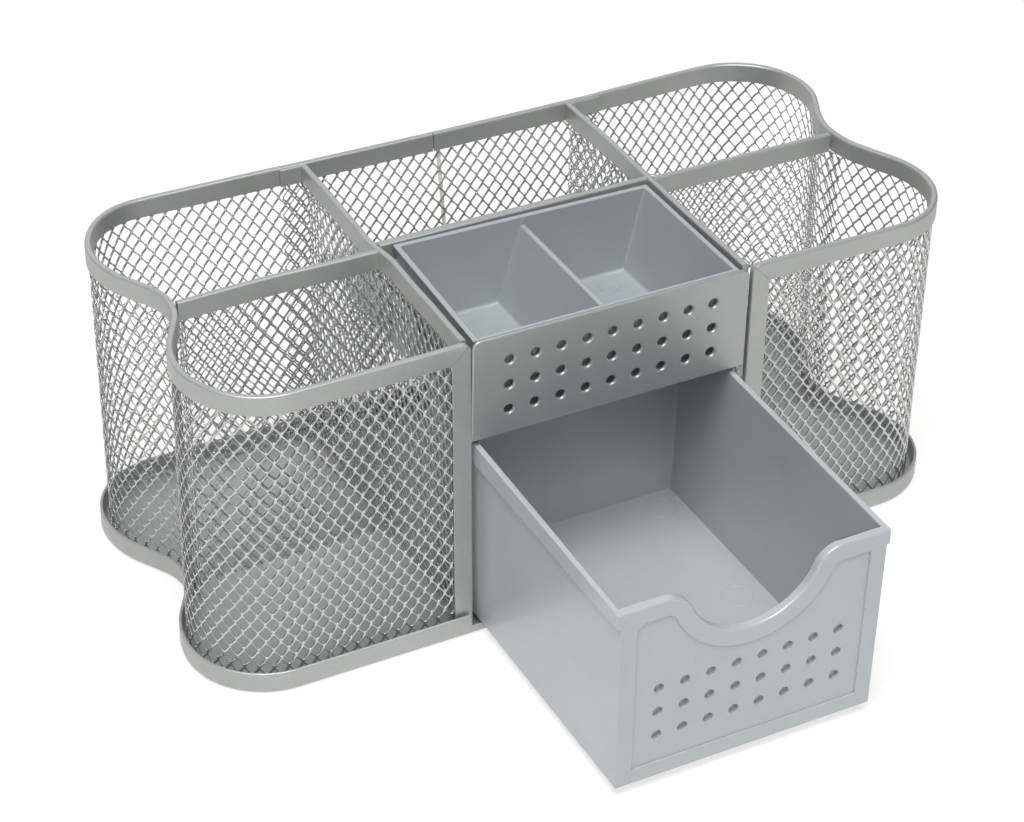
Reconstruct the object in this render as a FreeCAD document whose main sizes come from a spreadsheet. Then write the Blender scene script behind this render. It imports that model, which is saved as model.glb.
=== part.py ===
import FreeCAD, Part
import Sketcher
import math
import os

# Desk organizer: four mesh cups round a centre bay. The bay holds a sliding
# drawer below and, above a shelf, a lift-out tray in front of a rear cup.
# Units are millimetres. +X is the user's right, -Y the front, +Z up.
# The origin is on the underside of the base pan, midway between its sides
# and midway between the front and back walls.

V = FreeCAD.Vector
os.makedirs("parts", exist_ok=True)
doc = FreeCAD.newDocument("organizer")

# ---------------------------------------------------------------- dimensions
DIMS = [
    # outer wall and rims
    ("rim_top", 100.0), ("rim_tall", 6.0), ("rim_wide", 2.0), ("rim_gauge", 0.5),
    ("rim_round", 0.7), ("mesh_gauge", 0.5), ("mesh_high", 99.5),
    ("path_half_width", 119.5), ("path_half_depth", 54.2),
    ("path_corner", 22.6), ("path_lobe", 28.8), ("path_waist", 19.2), ("flare", 31.0),
    ("seam_off", 1.8),
    # base pan
    ("pan_half_width", 122.3), ("pan_half_depth", 57.2), ("pan_corner", 24.5),
    ("pan_lobe", 31.0), ("pan_waist", 17.0), ("pan_tall", 7.0), ("pan_gauge", 0.7),
    ("sill_tall", 2.8), ("sill_half", 43.4),
    # bay sides and compartment dividers
    ("bay_side", 44.7), ("tab_bend", 1.5), ("rear_tab", 54.0), ("side_front", 53.1),
    ("side_back", 52.3), ("flap_gauge", 0.5), ("tab_top", 93.9),
    ("div_inner", 45.3), ("div_outer", 107.9), ("div_tab", 6.0),
    ("div_rim_inner", 45.75), ("div_rim_outer", 107.45),
    ("div_right", 0.6), ("div_left", -0.4), ("centre_div", 2.6), ("centre_half", 43.65),
    # front posts
    ("right_post_inner", 45.9), ("right_post_outer", 51.8),
    ("left_post_inner", 43.6), ("left_post_outer", 49.4), ("post_round", 3.0),
    # shelf above the drawer
    ("shelf_low", 71.2), ("shelf_gauge", 0.8), ("shelf_half", 44.4),
    ("shelf_front", 54.3), ("shelf_back", 45.7), ("shelf_lip", 2.8), ("shelf_notch", 42.6),
    # perforated plate
    ("plate_half", 43.5), ("plate_low", 67.3), ("plate_front", 56.0),
    ("plate_thick", 1.0), ("plate_round", 2.5), ("plate_edge", 0.9),
    ("hole_dia", 2.8), ("hole_pitch", 8.1), ("hole_row", 8.2), ("hole_first", 91.6),
    ("ear_deep", 4.6), ("ear_low", 69.0), ("ear_high", 88.0), ("ear_gauge", 0.8),
    # drawer
    ("drawer_front", 136.9), ("drawer_long", 110.0), ("drawer_top", 63.4),
    ("drawer_back_top", 66.0), ("drawer_low", 3.2), ("drawer_half", 42.2),
    ("drawer_body", 41.1), ("drawer_foot", 40.6), ("band_tall", 5.0),
    ("drawer_wall", 1.8), ("drawer_face", 2.6), ("drawer_floor", 3.2),
    ("runner_wide", 2.4), ("runner_tall", 1.2),
    ("scoop_rad", 20.9), ("scoop_low", 45.3), ("shoulder_rad", 8.35),
    ("inset", 5.3), ("inset_deep", 0.5),
    ("dimple_dia", 3.1), ("dimple_deep", 1.3), ("dimple_pitch", 8.06),
    ("dimple_row", 8.12), ("dimple_first", 33.7),
    # tray
    ("tray_rear_left", 40.7), ("tray_rear_right", 42.3), ("tray_front_left", 42.7),
    ("tray_front_right", 42.25), ("tray_front", 54.6), ("tray_back_left", -0.8),
    ("tray_back_right", 0.8), ("tray_back", 0.4), ("tray_top", 99.7), ("tray_lip", 1.9),
    ("tray_low", 72.1), ("tray_foot", 34.6), ("tray_foot_front", 53.4),
    ("tray_foot_back", 2.8), ("tray_wall", 1.0), ("tray_floor", 1.6), ("tray_taper", 0.031),
    ("cell_foot", 9.0), ("web_half", -0.16), ("web_drop", 2.6),
    # strip over the joint of the two outer walls
    ("strip_half", 0.6), ("strip_gauge", 0.4), ("strip_lean", 7.1), ("strip_foot", 7.3),
]
sheet = doc.addObject("Spreadsheet::Sheet", "dims")
D = {}
for row, (name, value) in enumerate(DIMS, 1):
    sheet.set("A%d" % row, name)
    sheet.set("B%d" % row, str(value))
    sheet.setAlias("B%d" % row, name)
    D[name] = value
doc.recompute()

EXPORT = []


def keep(obj, label):
    obj.Label = label
    EXPORT.append(obj)
    return obj


def body(name):
    return doc.addObject("PartDesign::Body", name)


def plane(bd, role):
    return [f for f in bd.Origin.OriginFeatures if f.Role == role][0]


def sketch(bd, name, role, offset=None, expr=None):
    sk = bd.newObject("Sketcher::SketchObject", name)
    sk.AttachmentSupport = [(plane(bd, role), "")]
    sk.MapMode = "FlatFace"
    if offset is not None:
        sk.AttachmentOffset = FreeCAD.Placement(V(0, 0, offset), FreeCAD.Rotation())
    if expr:
        sk.setExpression("AttachmentOffset.Base.z", expr)
    return sk


def con(sk, kind, *args, name=None, expr=None):
    i = sk.addConstraint(Sketcher.Constraint(kind, *args))
    if name:
        sk.renameConstraint(i, name)
        if expr:
            sk.setExpression("Constraints." + name, expr)
    return i


def polygon(sk, pts):
    """Closed run of straight edges, joined end to end."""
    n0 = sk.GeometryCount
    n = len(pts)
    for i in range(n):
        p, q = pts[i], pts[(i + 1) % n]
        sk.addGeometry(Part.LineSegment(V(p[0], p[1], 0), V(q[0], q[1], 0)), False)
    for i in range(n):
        sk.addConstraint(Sketcher.Constraint("Coincident", n0 + i, 2, n0 + (i + 1) % n, 1))
    return n0


def rectangle(sk, x0, x1, y0, y1, ex=None):
    """Rectangle whose four sides are held from the sketch origin. ex gives
    the sheet expressions of the four sides, in the order x0, x1, y0, y1."""
    g = polygon(sk, [(x0, y0), (x1, y0), (x1, y1), (x0, y1)])
    for k in (0, 2):
        sk.addConstraint(Sketcher.Constraint("Horizontal", g + k))
    for k in (1, 3):
        sk.addConstraint(Sketcher.Constraint("Vertical", g + k))
    tag = "r%d_" % g
    sides = [("DistanceX", 0, 1, x0, "left"), ("DistanceX", 1, 1, x1, "right"),
             ("DistanceY", 0, 1, y0, "low"), ("DistanceY", 2, 1, y1, "high")]
    for k, (kind, edge, pos, val, nm) in enumerate(sides):
        e = ex[k] if ex else None
        con(sk, kind, -1, 1, g + edge, pos, val, name=tag + nm, expr=e)
    return g


def pad(bd, sk, length, expr=None, midplane=False, reversed_=False, name="pad"):
    f = bd.newObject("PartDesign::Pad", name)
    f.Profile = sk
    f.Length = length
    f.Midplane = midplane
    f.Reversed = reversed_
    if expr:
        f.setExpression("Length", expr)
    doc.recompute()
    if bd.Shape.isNull() or not bd.Shape.isValid():
        raise RuntimeError("%s in %s: sketch solve %d, redundant %s" % (
            name, bd.Name, sk.solve(), sk.RedundantConstraints))
    return f


def pocket(bd, sk, length=None, expr=None, midplane=False, reversed_=False,
           through=False, name="pocket", less=True):
    before = bd.Shape.Volume
    f = bd.newObject("PartDesign::Pocket", name)
    f.Profile = sk
    if through:
        f.Type = 1
    else:
        f.Length = length
        if expr:
            f.setExpression("Length", expr)
    f.Midplane = midplane
    f.Reversed = reversed_
    doc.recompute()
    if less and not (bd.Shape.Volume < before - 1e-3):
        raise RuntimeError("%s in %s removed nothing" % (name, bd.Name))
    return f


# ------------------------------------------------------- outer wall path
def lobe_path(sk, side, prefix, start, stop, inset=""):
    """One end of the outline, seen from above: back wall, rounded corner,
    lobe, waist, lobe, corner, front wall. side is +1 or -1. inset names the
    dimension by which the outline is drawn inwards. stop is None for a
    closed outline."""
    s = side
    off = D[inset] if inset else 0.0
    less = " - dims." + inset if inset else ""
    more = " + dims." + inset if inset else ""
    hw, hd = D[prefix + "_half_width"] - off, D[prefix + "_half_depth"] - off
    r1, r2, r3 = D[prefix + "_corner"] - off, D[prefix + "_lobe"] - off, D[prefix + "_waist"] + off
    closed = stop is None
    if closed:
        stop = 0.0
    a = math.radians(D["flare"])
    vm = hd - r1
    c1 = V(s * (hw - r1), vm, 0)
    c2 = V(s * (hw - r2), vm, 0)
    d = V(hw - r2 + r2 * math.cos(a), vm - r2 * math.sin(a), 0)
    run = (d.y - r3 * math.sin(a)) / math.cos(a)
    e = V(d.x - run * math.sin(a), d.y - run * math.cos(a), 0)
    c3 = V(s * (e.x + r3 * math.cos(a)), 0, 0)
    z = V(0, 0, 1)

    def arc(c, r, t0, t1):
        if s < 0:
            t0, t1 = math.pi - t1, math.pi - t0
        return Part.ArcOfCircle(Part.Circle(c, z, r), t0, t1)

    def seg(x0, y0, x1, y1):
        return Part.LineSegment(V(s * x0, y0, 0), V(s * x1, y1, 0))

    n = sk.GeometryCount
    half = math.pi / 2
    for g in (seg(start, hd, hw - r1, hd), arc(c1, r1, 0, half), arc(c2, r2, -a, 0),
              seg(d.x, d.y, e.x, e.y), arc(c3, r3, math.pi - a, math.pi + a),
              seg(e.x, -e.y, d.x, -d.y), arc(V(c2.x, -c2.y, 0), r2, 0, a),
              arc(V(c1.x, -c1.y, 0), r1, -half, 0), seg(hw - r1, -hd, stop, -hd)):
        sk.addGeometry(g, False)
    arcs = (1, 2, 4, 6, 7)

    def p(geo, pos):
        return 3 - pos if (s < 0 and geo in arcs) else pos

    for ga, pa, gb, pb in ((0, 2, 1, 2), (1, 1, 2, 2), (2, 1, 3, 1), (3, 2, 4, 1),
                           (4, 2, 5, 1), (5, 2, 6, 2), (6, 1, 7, 2), (7, 1, 8, 1)):
        sk.addConstraint(Sketcher.Constraint("Tangent", n + ga, p(ga, pa), n + gb, p(gb, pb)))
    sk.addConstraint(Sketcher.Constraint("Horizontal", n))
    sk.addConstraint(Sketcher.Constraint("Horizontal", n + 8))
    sk.addConstraint(Sketcher.Constraint("PointOnObject", n + 4, 3, -1))
    sk.addConstraint(Sketcher.Constraint("Equal", n + 1, n + 7))
    sk.addConstraint(Sketcher.Constraint("Equal", n + 2, n + 6))
    t = "n%d_" % n
    con(sk, "Radius", n + 1, r1, name=t + "corner", expr="dims.%s_corner%s" % (prefix, less))
    con(sk, "Radius", n + 2, r2, name=t + "lobe", expr="dims.%s_lobe%s" % (prefix, less))
    con(sk, "Radius", n + 4, r3, name=t + "waist", expr="dims.%s_waist%s" % (prefix, more))
    con(sk, "Angle", n + 3, math.atan2(e.y - d.y, s * (e.x - d.x)), name=t + "flare")
    con(sk, "Angle", n + 5, math.atan2(e.y - d.y, s * (d.x - e.x)), name=t + "flarefront")
    if s > 0 or not closed:
        con(sk, "DistanceY", -1, 1, n, 1, hd, name=t + "back",
            expr="dims.%s_half_depth%s" % (prefix, less))
        con(sk, "DistanceY", n + 8, 2, -1, 1, hd, name=t + "front",
            expr="dims.%s_half_depth%s" % (prefix, less))
    wide = "dims.%s_half_width%s" % (prefix, less)
    for geo, nm in ((2, "wide"), (7, "widefront")):
        if s > 0:
            con(sk, "DistanceX", -1, 1, n + geo, p(geo, 2), hw, name=t + nm, expr=wide)
        else:
            con(sk, "DistanceX", n + geo, p(geo, 2), -1, 1, hw, name=t + nm, expr=wide)
    if not closed:
        if start >= 0:
            con(sk, "DistanceX", -1, 1, n, 1, start, name=t + "seam", expr="dims.seam_off")
        else:
            con(sk, "DistanceX", n, 1, -1, 1, -start, name=t + "seam", expr="dims.seam_off")
        con(sk, "DistanceX", -1, 1, n + 8, 2, stop, name=t + "end")
    return n


def tabbed_path(sk, pts, bend):
    """Open run of straight legs joined by tangent bends of one radius."""
    n = sk.GeometryCount
    legs = []
    cur = V(pts[0][0], pts[0][1], 0)
    geo = []
    for i in range(1, len(pts)):
        q = V(pts[i][0], pts[i][1], 0)
        if i == len(pts) - 1:
            geo.append(("L", cur, q))
            break
        nxt = V(pts[i + 1][0], pts[i + 1][1], 0)
        u = (q - V(pts[i - 1][0], pts[i - 1][1], 0)).normalize()
        w = (nxt - q).normalize()
        a = q - u * bend
        b = q + w * bend
        c = a + w * bend
        geo.append(("L", cur, a))
        left = u.x * w.y - u.y * w.x > 0
        geo.append(("A", c, a, b, left))
        cur = b
    ends = []
    for g in geo:
        if g[0] == "L":
            sk.addGeometry(Part.LineSegment(g[1], g[2]), False)
            ends.append((1, 2))
        else:
            _, c, a, b, left = g
            t0 = math.atan2(a.y - c.y, a.x - c.x)
            t1 = math.atan2(b.y - c.y, b.x - c.x)
            if not left:
                t0, t1 = t1, t0
            while t1 < t0:
                t1 += 2 * math.pi
            sk.addGeometry(Part.ArcOfCircle(Part.Circle(c, V(0, 0, 1), bend), t0, t1), False)
            ends.append((1, 2) if left else (2, 1))
    for i in range(len(ends) - 1):
        sk.addConstraint(Sketcher.Constraint("Tangent", n + i, ends[i][1], n + i + 1, ends[i + 1][0]))
    for i, g in enumerate(geo):
        if g[0] == "A":
            con(sk, "Radius", n + i, bend, name="bend%d" % i, expr="dims.tab_bend")
        elif abs(g[1].x - g[2].x) < 1e-9:
            sk.addConstraint(Sketcher.Constraint("Vertical", n + i))
        else:
            sk.addConstraint(Sketcher.Constraint("Horizontal", n + i))
    return geo


def swept(bd, path, prof):
    f = bd.newObject("PartDesign::AdditivePipe", "sweep")
    f.Profile = prof
    f.Spine = (path, [])
    doc.recompute()
    want = prof_area(prof) * path.Shape.Length
    if abs(bd.Shape.Volume - want) > 0.01 * want:
        raise RuntimeError("%s: swept volume %.1f, expected %.1f" % (bd.Name, bd.Shape.Volume, want))
    return f


def prof_area(prof):
    return Part.Face(Part.Wire(Part.__sortEdges__(prof.Shape.Edges))).Area


def strip_profile(sk, at, u="Y"):
    """Thin upright strip section, centred on the path at distance at."""
    t = D["mesh_gauge"] / 2
    g = polygon(sk, [(at - t, D["pan_gauge"]), (at + t, D["pan_gauge"]),
                     (at + t, D["mesh_high"]), (at - t, D["mesh_high"])])
    for k in (0, 2):
        sk.addConstraint(Sketcher.Constraint("Horizontal", g + k))
    for k in (1, 3):
        sk.addConstraint(Sketcher.Constraint("Vertical", g + k))
    con(sk, "DistanceX", g, 1, g, 2, 2 * t, name="gauge", expr="dims.mesh_gauge")
    con(sk, "DistanceY", -1, 1, g, 1, D["pan_gauge"], name="low", expr="dims.pan_gauge")
    con(sk, "DistanceY", -1, 1, g + 2, 1, D["mesh_high"], name="high", expr="dims.mesh_high")
    con(sk, "DistanceX", -1, 1, g, 1, at - t, name="at")


def channel_profile(sk, at):
    """Folded channel section, open below, centred on the path."""
    w, gz, top = D["rim_wide"] / 2, D["rim_gauge"], D["rim_top"]
    low, r = top - D["rim_tall"], D["rim_round"]
    n = sk.GeometryCount
    z = V(0, 0, 1)

    def L(p, q):
        sk.addGeometry(Part.LineSegment(V(at + p[0], p[1], 0), V(at + q[0], q[1], 0)), False)

    L((-w, low), (-w, top - r))
    sk.addGeometry(Part.ArcOfCircle(Part.Circle(V(at - w + r, top - r, 0), z, r), math.pi / 2, math.pi), False)
    L((-w + r, top), (w - r, top))
    sk.addGeometry(Part.ArcOfCircle(Part.Circle(V(at + w - r, top - r, 0), z, r), 0, math.pi / 2), False)
    L((w, top - r), (w, low))
    L((w, low), (w - gz, low))
    L((w - gz, low), (w - gz, top - gz))
    L((w - gz, top - gz), (-w + gz, top - gz))
    L((-w + gz, top - gz), (-w + gz, low))
    L((-w + gz, low), (-w, low))
    C = Sketcher.Constraint
    for a, pa, b, pb in ((0, 2, 1, 2), (1, 1, 2, 1), (2, 2, 3, 2), (3, 1, 4, 1)):
        sk.addConstraint(C("Tangent", n + a, pa, n + b, pb))
    for a in (4, 5, 6, 7, 8, 9):
        sk.addConstraint(C("Coincident", n + a, 2, n + (a + 1) % 10, 1))
    for a in (0, 4, 6, 8):
        sk.addConstraint(C("Vertical", n + a))
    for a in (2, 5, 7, 9):
        sk.addConstraint(C("Horizontal", n + a))
    sk.addConstraint(C("Equal", n + 1, n + 3))
    sk.addConstraint(C("Equal", n + 5, n + 9))
    con(sk, "Radius", n + 1, r, name="round", expr="dims.rim_round")
    con(sk, "DistanceX", n + 0, 1, n + 4, 2, 2 * w, name="wide", expr="dims.rim_wide")
    con(sk, "DistanceX", n + 5, 2, n + 5, 1, gz, name="gauge", expr="dims.rim_gauge")
    con(sk, "DistanceY", n + 7, 1, n + 2, 1, gz, name="crown", expr="dims.rim_gauge")
    con(sk, "DistanceY", n + 0, 1, n + 2, 1, D["rim_tall"], name="tall", expr="dims.rim_tall")
    con(sk, "DistanceY", -1, 1, n + 2, 1, top, name="top", expr="dims.rim_top")
    con(sk, "DistanceX", -1, 1, n + 0, 1, at - w, name="at")
    con(sk, "DistanceY", n + 0, 1, n + 4, 2, 0, name="level")


def mirrored(src, label):
    m = doc.addObject("Part::Mirroring", label)
    m.Source = src
    m.Normal = V(1, 0, 0)
    m.Base = V(0, 0, 0)
    doc.recompute()
    return keep(m, label)


# ------------------------------------------- outer wall halves and top rims
def outer_half(name, side, start, channel):
    bd = body(name)
    path = sketch(bd, name + "_path", "XY_Plane")
    x0, x1 = D[side + "_post_inner"], D[side + "_post_outer"]
    stop = x0 if channel else x0 + D["rim_gauge"] + 0.1
    lobe_path(path, 1, "path", start, stop)
    # the section stands at the start of the path, square to it
    prof = sketch(bd, name + "_section", "YZ_Plane", offset=start,
                  expr="dims.seam_off" if start > 0 else "-dims.seam_off")
    doc.recompute()
    (channel_profile if channel else strip_profile)(prof, D["path_half_depth"])
    doc.recompute()
    swept(bd, path, prof)
    if channel:
        # mitre against the front post, then the rounded top corner
        top, low = D["rim_top"], D["rim_top"] - D["rim_tall"]
        cut = sketch(bd, name + "_mitre", "XZ_Plane")
        polygon(cut, [(x0 - 1, top), (x0, top), (x1, low), (x1, low - 1), (x0 - 1, low - 1)])
        pocket(bd, cut, D["path_half_depth"] + 10, reversed_=True, name=name + "_mitre_cut")
        corner_round(bd, name, x0)
    return bd


def corner_round(bd, name, x0):
    top, r = D["rim_top"], D["post_round"]
    sk = sketch(bd, name + "_corner", "XZ_Plane")
    n = sk.GeometryCount
    sk.addGeometry(Part.LineSegment(V(x0 - 1, top - r, 0), V(x0, top - r, 0)), False)
    sk.addGeometry(Part.ArcOfCircle(Part.Circle(V(x0 + r, top - r, 0), V(0, 0, 1), r),
                                    math.pi / 2, math.pi), False)
    sk.addGeometry(Part.LineSegment(V(x0 + r, top, 0), V(x0 + r, top + 1, 0)), False)
    sk.addGeometry(Part.LineSegment(V(x0 + r, top + 1, 0), V(x0 - 1, top + 1, 0)), False)
    sk.addGeometry(Part.LineSegment(V(x0 - 1, top + 1, 0), V(x0 - 1, top - r, 0)), False)
    con(sk, "Radius", n + 1, r, name="corner", expr="dims.post_round")
    doc.recompute()
    pocket(bd, sk, D["path_half_depth"] + 10, reversed_=True, name=name + "_corner_cut")


seam = D["seam_off"]
keep(outer_half("right_mesh_body", "right", -seam, False), "right_outer_mesh")
keep(outer_half("right_rim_body", "right", -seam, True), "right_top_rim")
mirrored(outer_half("left_mesh_body", "left", seam, False), "left_outer_mesh")
mirrored(outer_half("left_rim_body", "left", seam, True), "left_top_rim")

# ----------------------------------------------------------------- base pan
pan = body("pan_body")


def closed_outline(sk, inset=""):
    a = lobe_path(sk, 1, "pan", 0.0, None, inset)
    b = lobe_path(sk, -1, "pan", 0.0, None, inset)
    sk.addConstraint(Sketcher.Constraint("Coincident", a, 1, b, 1))
    sk.addConstraint(Sketcher.Constraint("Coincident", a + 8, 2, b + 8, 2))
    sk.addConstraint(Sketcher.Constraint("PointOnObject", a, 1, -2))
    sk.addConstraint(Sketcher.Constraint("PointOnObject", a + 8, 2, -2))


sk = sketch(pan, "pan_outline", "XY_Plane")
closed_outline(sk)
pad(pan, sk, D["pan_tall"], "dims.pan_tall", name="pan_block")
sk = sketch(pan, "pan_inner", "XY_Plane", D["pan_gauge"], "dims.pan_gauge")
closed_outline(sk, "pan_gauge")
pocket(pan, sk, D["pan_tall"], "dims.pan_tall", reversed_=True, name="pan_hollow")
# the front edge is low between the posts, so that the drawer passes over it
sk = sketch(pan, "sill_cut", "XZ_Plane")
rectangle(sk, -D["sill_half"], D["sill_half"], D["sill_tall"], D["pan_tall"] + 1,
          ["-dims.sill_half", "dims.sill_half", "dims.sill_tall", "dims.pan_tall + 1"])
pocket(pan, sk, D["pan_half_depth"] + 5, reversed_=True, name="sill_pocket")
keep(pan, "base_pan")


# ------------------------------------- bay sides and compartment dividers
def panel(name, pts, channel, along, at, start, low=None):
    """Strip or channel swept along a path with bent tabs. along is the plane
    that the section stands on, at the path's position in it, start the
    distance of that plane from the origin."""
    bd = body(name)
    path = sketch(bd, name + "_path", "XY_Plane")
    tabbed_path(path, pts, D["tab_bend"])
    prof = sketch(bd, name + "_section", along, offset=start)
    doc.recompute()
    (channel_profile if channel else strip_profile)(prof, at)
    doc.recompute()
    swept(bd, path, prof)
    return bd


# XZ_Plane's normal is -Y, so its offset is the distance in front
side_pts = [(D["bay_side"], -D["side_front"]), (D["bay_side"], D["side_back"]),
            (D["rear_tab"], D["side_back"])]
bd = panel("side_mesh_body", side_pts, False, "XZ_Plane", D["bay_side"], D["side_front"])
# the tab stops under the rims
sk = sketch(bd, "side_tab_top", "XY_Plane", D["tab_top"], "dims.tab_top")
rectangle(sk, D["bay_side"] + D["mesh_gauge"] / 2 + 0.05, D["rear_tab"] + 1, D["side_back"] - 4, D["side_back"] + 1)
pocket(bd, sk, 8, reversed_=True, name="side_tab_cut")
keep(bd, "right_side_mesh")
mirrored(bd, "left_side_mesh")

# the side's rim is a straight channel with a flat flap against the rear rim
bd = body("side_rim_body")
sk = sketch(bd, "side_rim_section", "XZ_Plane", D["side_front"], "dims.side_front")
channel_profile(sk, D["bay_side"])
rear = D["path_half_depth"] - D["rim_wide"] / 2 - 0.05
pad(bd, sk, D["side_front"] + rear, reversed_=True, name="side_rim_run")
low = D["rim_top"] - D["rim_tall"]
sk = sketch(bd, "side_flap", "XY_Plane", low, "dims.rim_top - dims.rim_tall")
rectangle(sk, D["bay_side"] + D["rim_wide"] / 2 - D["rim_gauge"], D["rear_tab"], rear - D["flap_gauge"], rear)
pad(bd, sk, D["rim_tall"] - D["rim_round"], "dims.rim_tall - dims.rim_round", name="side_flap_pad")
keep(bd, "right_side_rim")
mirrored(bd, "left_side_rim")

for side, y in (("right", D["div_right"]), ("left", D["div_left"])):
    low = y - D["tab_bend"] - D["div_tab"]
    pts = [(D["div_inner"], low), (D["div_inner"], y), (D["div_outer"], y), (D["div_outer"], low)]
    bd = panel("%s_div_mesh_body" % side, pts, False, "XZ_Plane", D["div_inner"], -low)
    sk = sketch(bd, side + "_div_tab_top", "XY_Plane", D["tab_top"], "dims.tab_top")
    front = y - D["mesh_gauge"] / 2 - 0.05
    polygon(sk, [(D["div_inner"] - 1, low - 1), (D["div_outer"] + 1, low - 1), (D["div_outer"] + 1, y + 1),
                 (D["div_rim_outer"] - 0.1, y + 1), (D["div_rim_outer"] - 0.1, front),
                 (D["div_rim_inner"] + 0.1, front), (D["div_rim_inner"] + 0.1, y + 1), (D["div_inner"] - 1, y + 1)])
    pocket(bd, sk, 8, reversed_=True, name=side + "_div_tab_cut")
    label = "%s_divider_mesh" % side
    if side == "right":
        keep(bd, label)
    else:
        mirrored(bd, label)
    # the divider's rim runs straight between the side's rim and the outer rim
    bd = body(side + "_div_rim_body")
    sk = sketch(bd, side + "_div_rim_section", "YZ_Plane", D["div_rim_inner"], "dims.div_rim_inner")
    channel_profile(sk, y)
    pad(bd, sk, D["div_rim_outer"] - D["div_rim_inner"], "dims.div_rim_outer - dims.div_rim_inner")
    label = "%s_divider_rim" % side
    if side == "right":
        keep(bd, label)
    else:
        mirrored(bd, label)

# centre divider between the bay sides, standing on the shelf
shelf_top = D["shelf_low"] + D["shelf_gauge"]
bd = body("centre_mesh_body")
sk = sketch(bd, "centre_mesh_plan", "XY_Plane", shelf_top, "dims.shelf_low + dims.shelf_gauge")
t = D["mesh_gauge"] / 2
rectangle(sk, -D["centre_half"], D["centre_half"], D["centre_div"] - t, D["centre_div"] + t,
          ["-dims.centre_half", "dims.centre_half", "dims.centre_div - dims.mesh_gauge / 2",
           "dims.centre_div + dims.mesh_gauge / 2"])
pad(bd, sk, D["mesh_high"] - shelf_top, "dims.mesh_high - dims.shelf_low - dims.shelf_gauge")
keep(bd, "centre_divider_mesh")
bd = body("centre_rim_body")
sk = sketch(bd, "centre_rim_section", "YZ_Plane")
channel_profile(sk, D["centre_div"])
pad(bd, sk, 2 * D["centre_half"], "2 * dims.centre_half", midplane=True)
keep(bd, "centre_divider_rim")

# -------------------------------------------------------------- front posts
for side in ("right", "left"):
    bd = body(side + "_post_body")
    sk = sketch(bd, side + "_post_section", "XY_Plane", D["pan_gauge"], "dims.pan_gauge")
    x0, x1, gz = D[side + "_post_inner"], D[side + "_post_outer"], D["rim_gauge"]
    y0 = -(D["path_half_depth"] + D["rim_wide"] / 2)
    y1 = y0 + D["rim_wide"]
    polygon(sk, [(x0, y0), (x1, y0), (x1, y0 + gz), (x0 + gz, y0 + gz),
                 (x0 + gz, y1 - gz), (x1, y1 - gz), (x1, y1), (x0, y1)])
    pad(bd, sk, D["rim_top"] - D["pan_gauge"], "dims.rim_top - dims.pan_gauge")
    sk = sketch(bd, side + "_post_mitre", "XZ_Plane")
    top, low = D["rim_top"], D["rim_top"] - D["rim_tall"]
    polygon(sk, [(x0, top), (x1, low), (x1 + 1, low), (x1 + 1, top + 1), (x0, top + 1)])
    pocket(bd, sk, D["path_half_depth"] + 10, reversed_=True, name=side + "_post_mitre_cut")
    sk = sketch(bd, side + "_post_corner", "XZ_Plane")
    r = D["post_round"]
    sk.addGeometry(Part.LineSegment(V(x0 - 1, top - r, 0), V(x0, top - r, 0)), False)
    sk.addGeometry(Part.ArcOfCircle(Part.Circle(V(x0 + r, top - r, 0), V(0, 0, 1), r),
                                    math.pi / 2, math.pi), False)
    sk.addGeometry(Part.LineSegment(V(x0 + r, top, 0), V(x0 + r, top + 1, 0)), False)
    sk.addGeometry(Part.LineSegment(V(x0 + r, top + 1, 0), V(x0 - 1, top + 1, 0)), False)
    sk.addGeometry(Part.LineSegment(V(x0 - 1, top + 1, 0), V(x0 - 1, top - r, 0)), False)
    doc.recompute()
    pocket(bd, sk, D["path_half_depth"] + 10, reversed_=True, name=side + "_post_corner_cut")
    if side == "right":
        keep(bd, "right_front_post")
    else:
        mirrored(bd, "left_front_post")

# ---------------------------------------- shelf over the drawer, under the tray
bd = body("shelf_body")
sk = sketch(bd, "shelf_plan", "XY_Plane", D["shelf_low"], "dims.shelf_low")
rectangle(sk, -D["shelf_half"], D["shelf_half"], -D["shelf_front"], D["shelf_back"],
          ["-dims.shelf_half", "dims.shelf_half", "-dims.shelf_front", "dims.shelf_back"])
pad(bd, sk, D["shelf_gauge"], "dims.shelf_gauge", name="shelf_sheet")
sk = sketch(bd, "shelf_lips", "XY_Plane", shelf_top, "dims.shelf_low + dims.shelf_gauge")
lip0, lip1 = D["shelf_half"] - D["shelf_gauge"], D["shelf_half"]
front_gap = D["plate_front"] - D["plate_thick"] - D["ear_deep"] - 0.5
rectangle(sk, lip0, lip1, -front_gap, D["shelf_back"])
rectangle(sk, -lip1, -lip0, -front_gap, D["shelf_back"])
pad(bd, sk, D["shelf_lip"], "dims.shelf_lip", name="shelf_lip_pad")
sk = sketch(bd, "shelf_lip_gap", "XY_Plane", shelf_top, "dims.shelf_low + dims.shelf_gauge")
rectangle(sk, -D["shelf_half"] - 1, D["shelf_half"] + 1, D["centre_div"] - 0.4, D["centre_div"] + 0.4)
pocket(bd, sk, D["shelf_lip"] + 1, reversed_=True, name="shelf_lip_cut")
# the front corners clear the ears of the front plate
sk = sketch(bd, "shelf_corner_notch", "XY_Plane", D["shelf_low"], "dims.shelf_low")
notch = D["plate_front"] - D["plate_thick"] - D["ear_deep"] - 0.4
rectangle(sk, D["shelf_notch"], D["shelf_half"] + 1, -D["shelf_front"] - 1, -notch)
rectangle(sk, -D["shelf_half"] - 1, -D["shelf_notch"], -D["shelf_front"] - 1, -notch)
pocket(bd, sk, D["shelf_lip"] + 2, reversed_=True, name="shelf_notch_cut")
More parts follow.
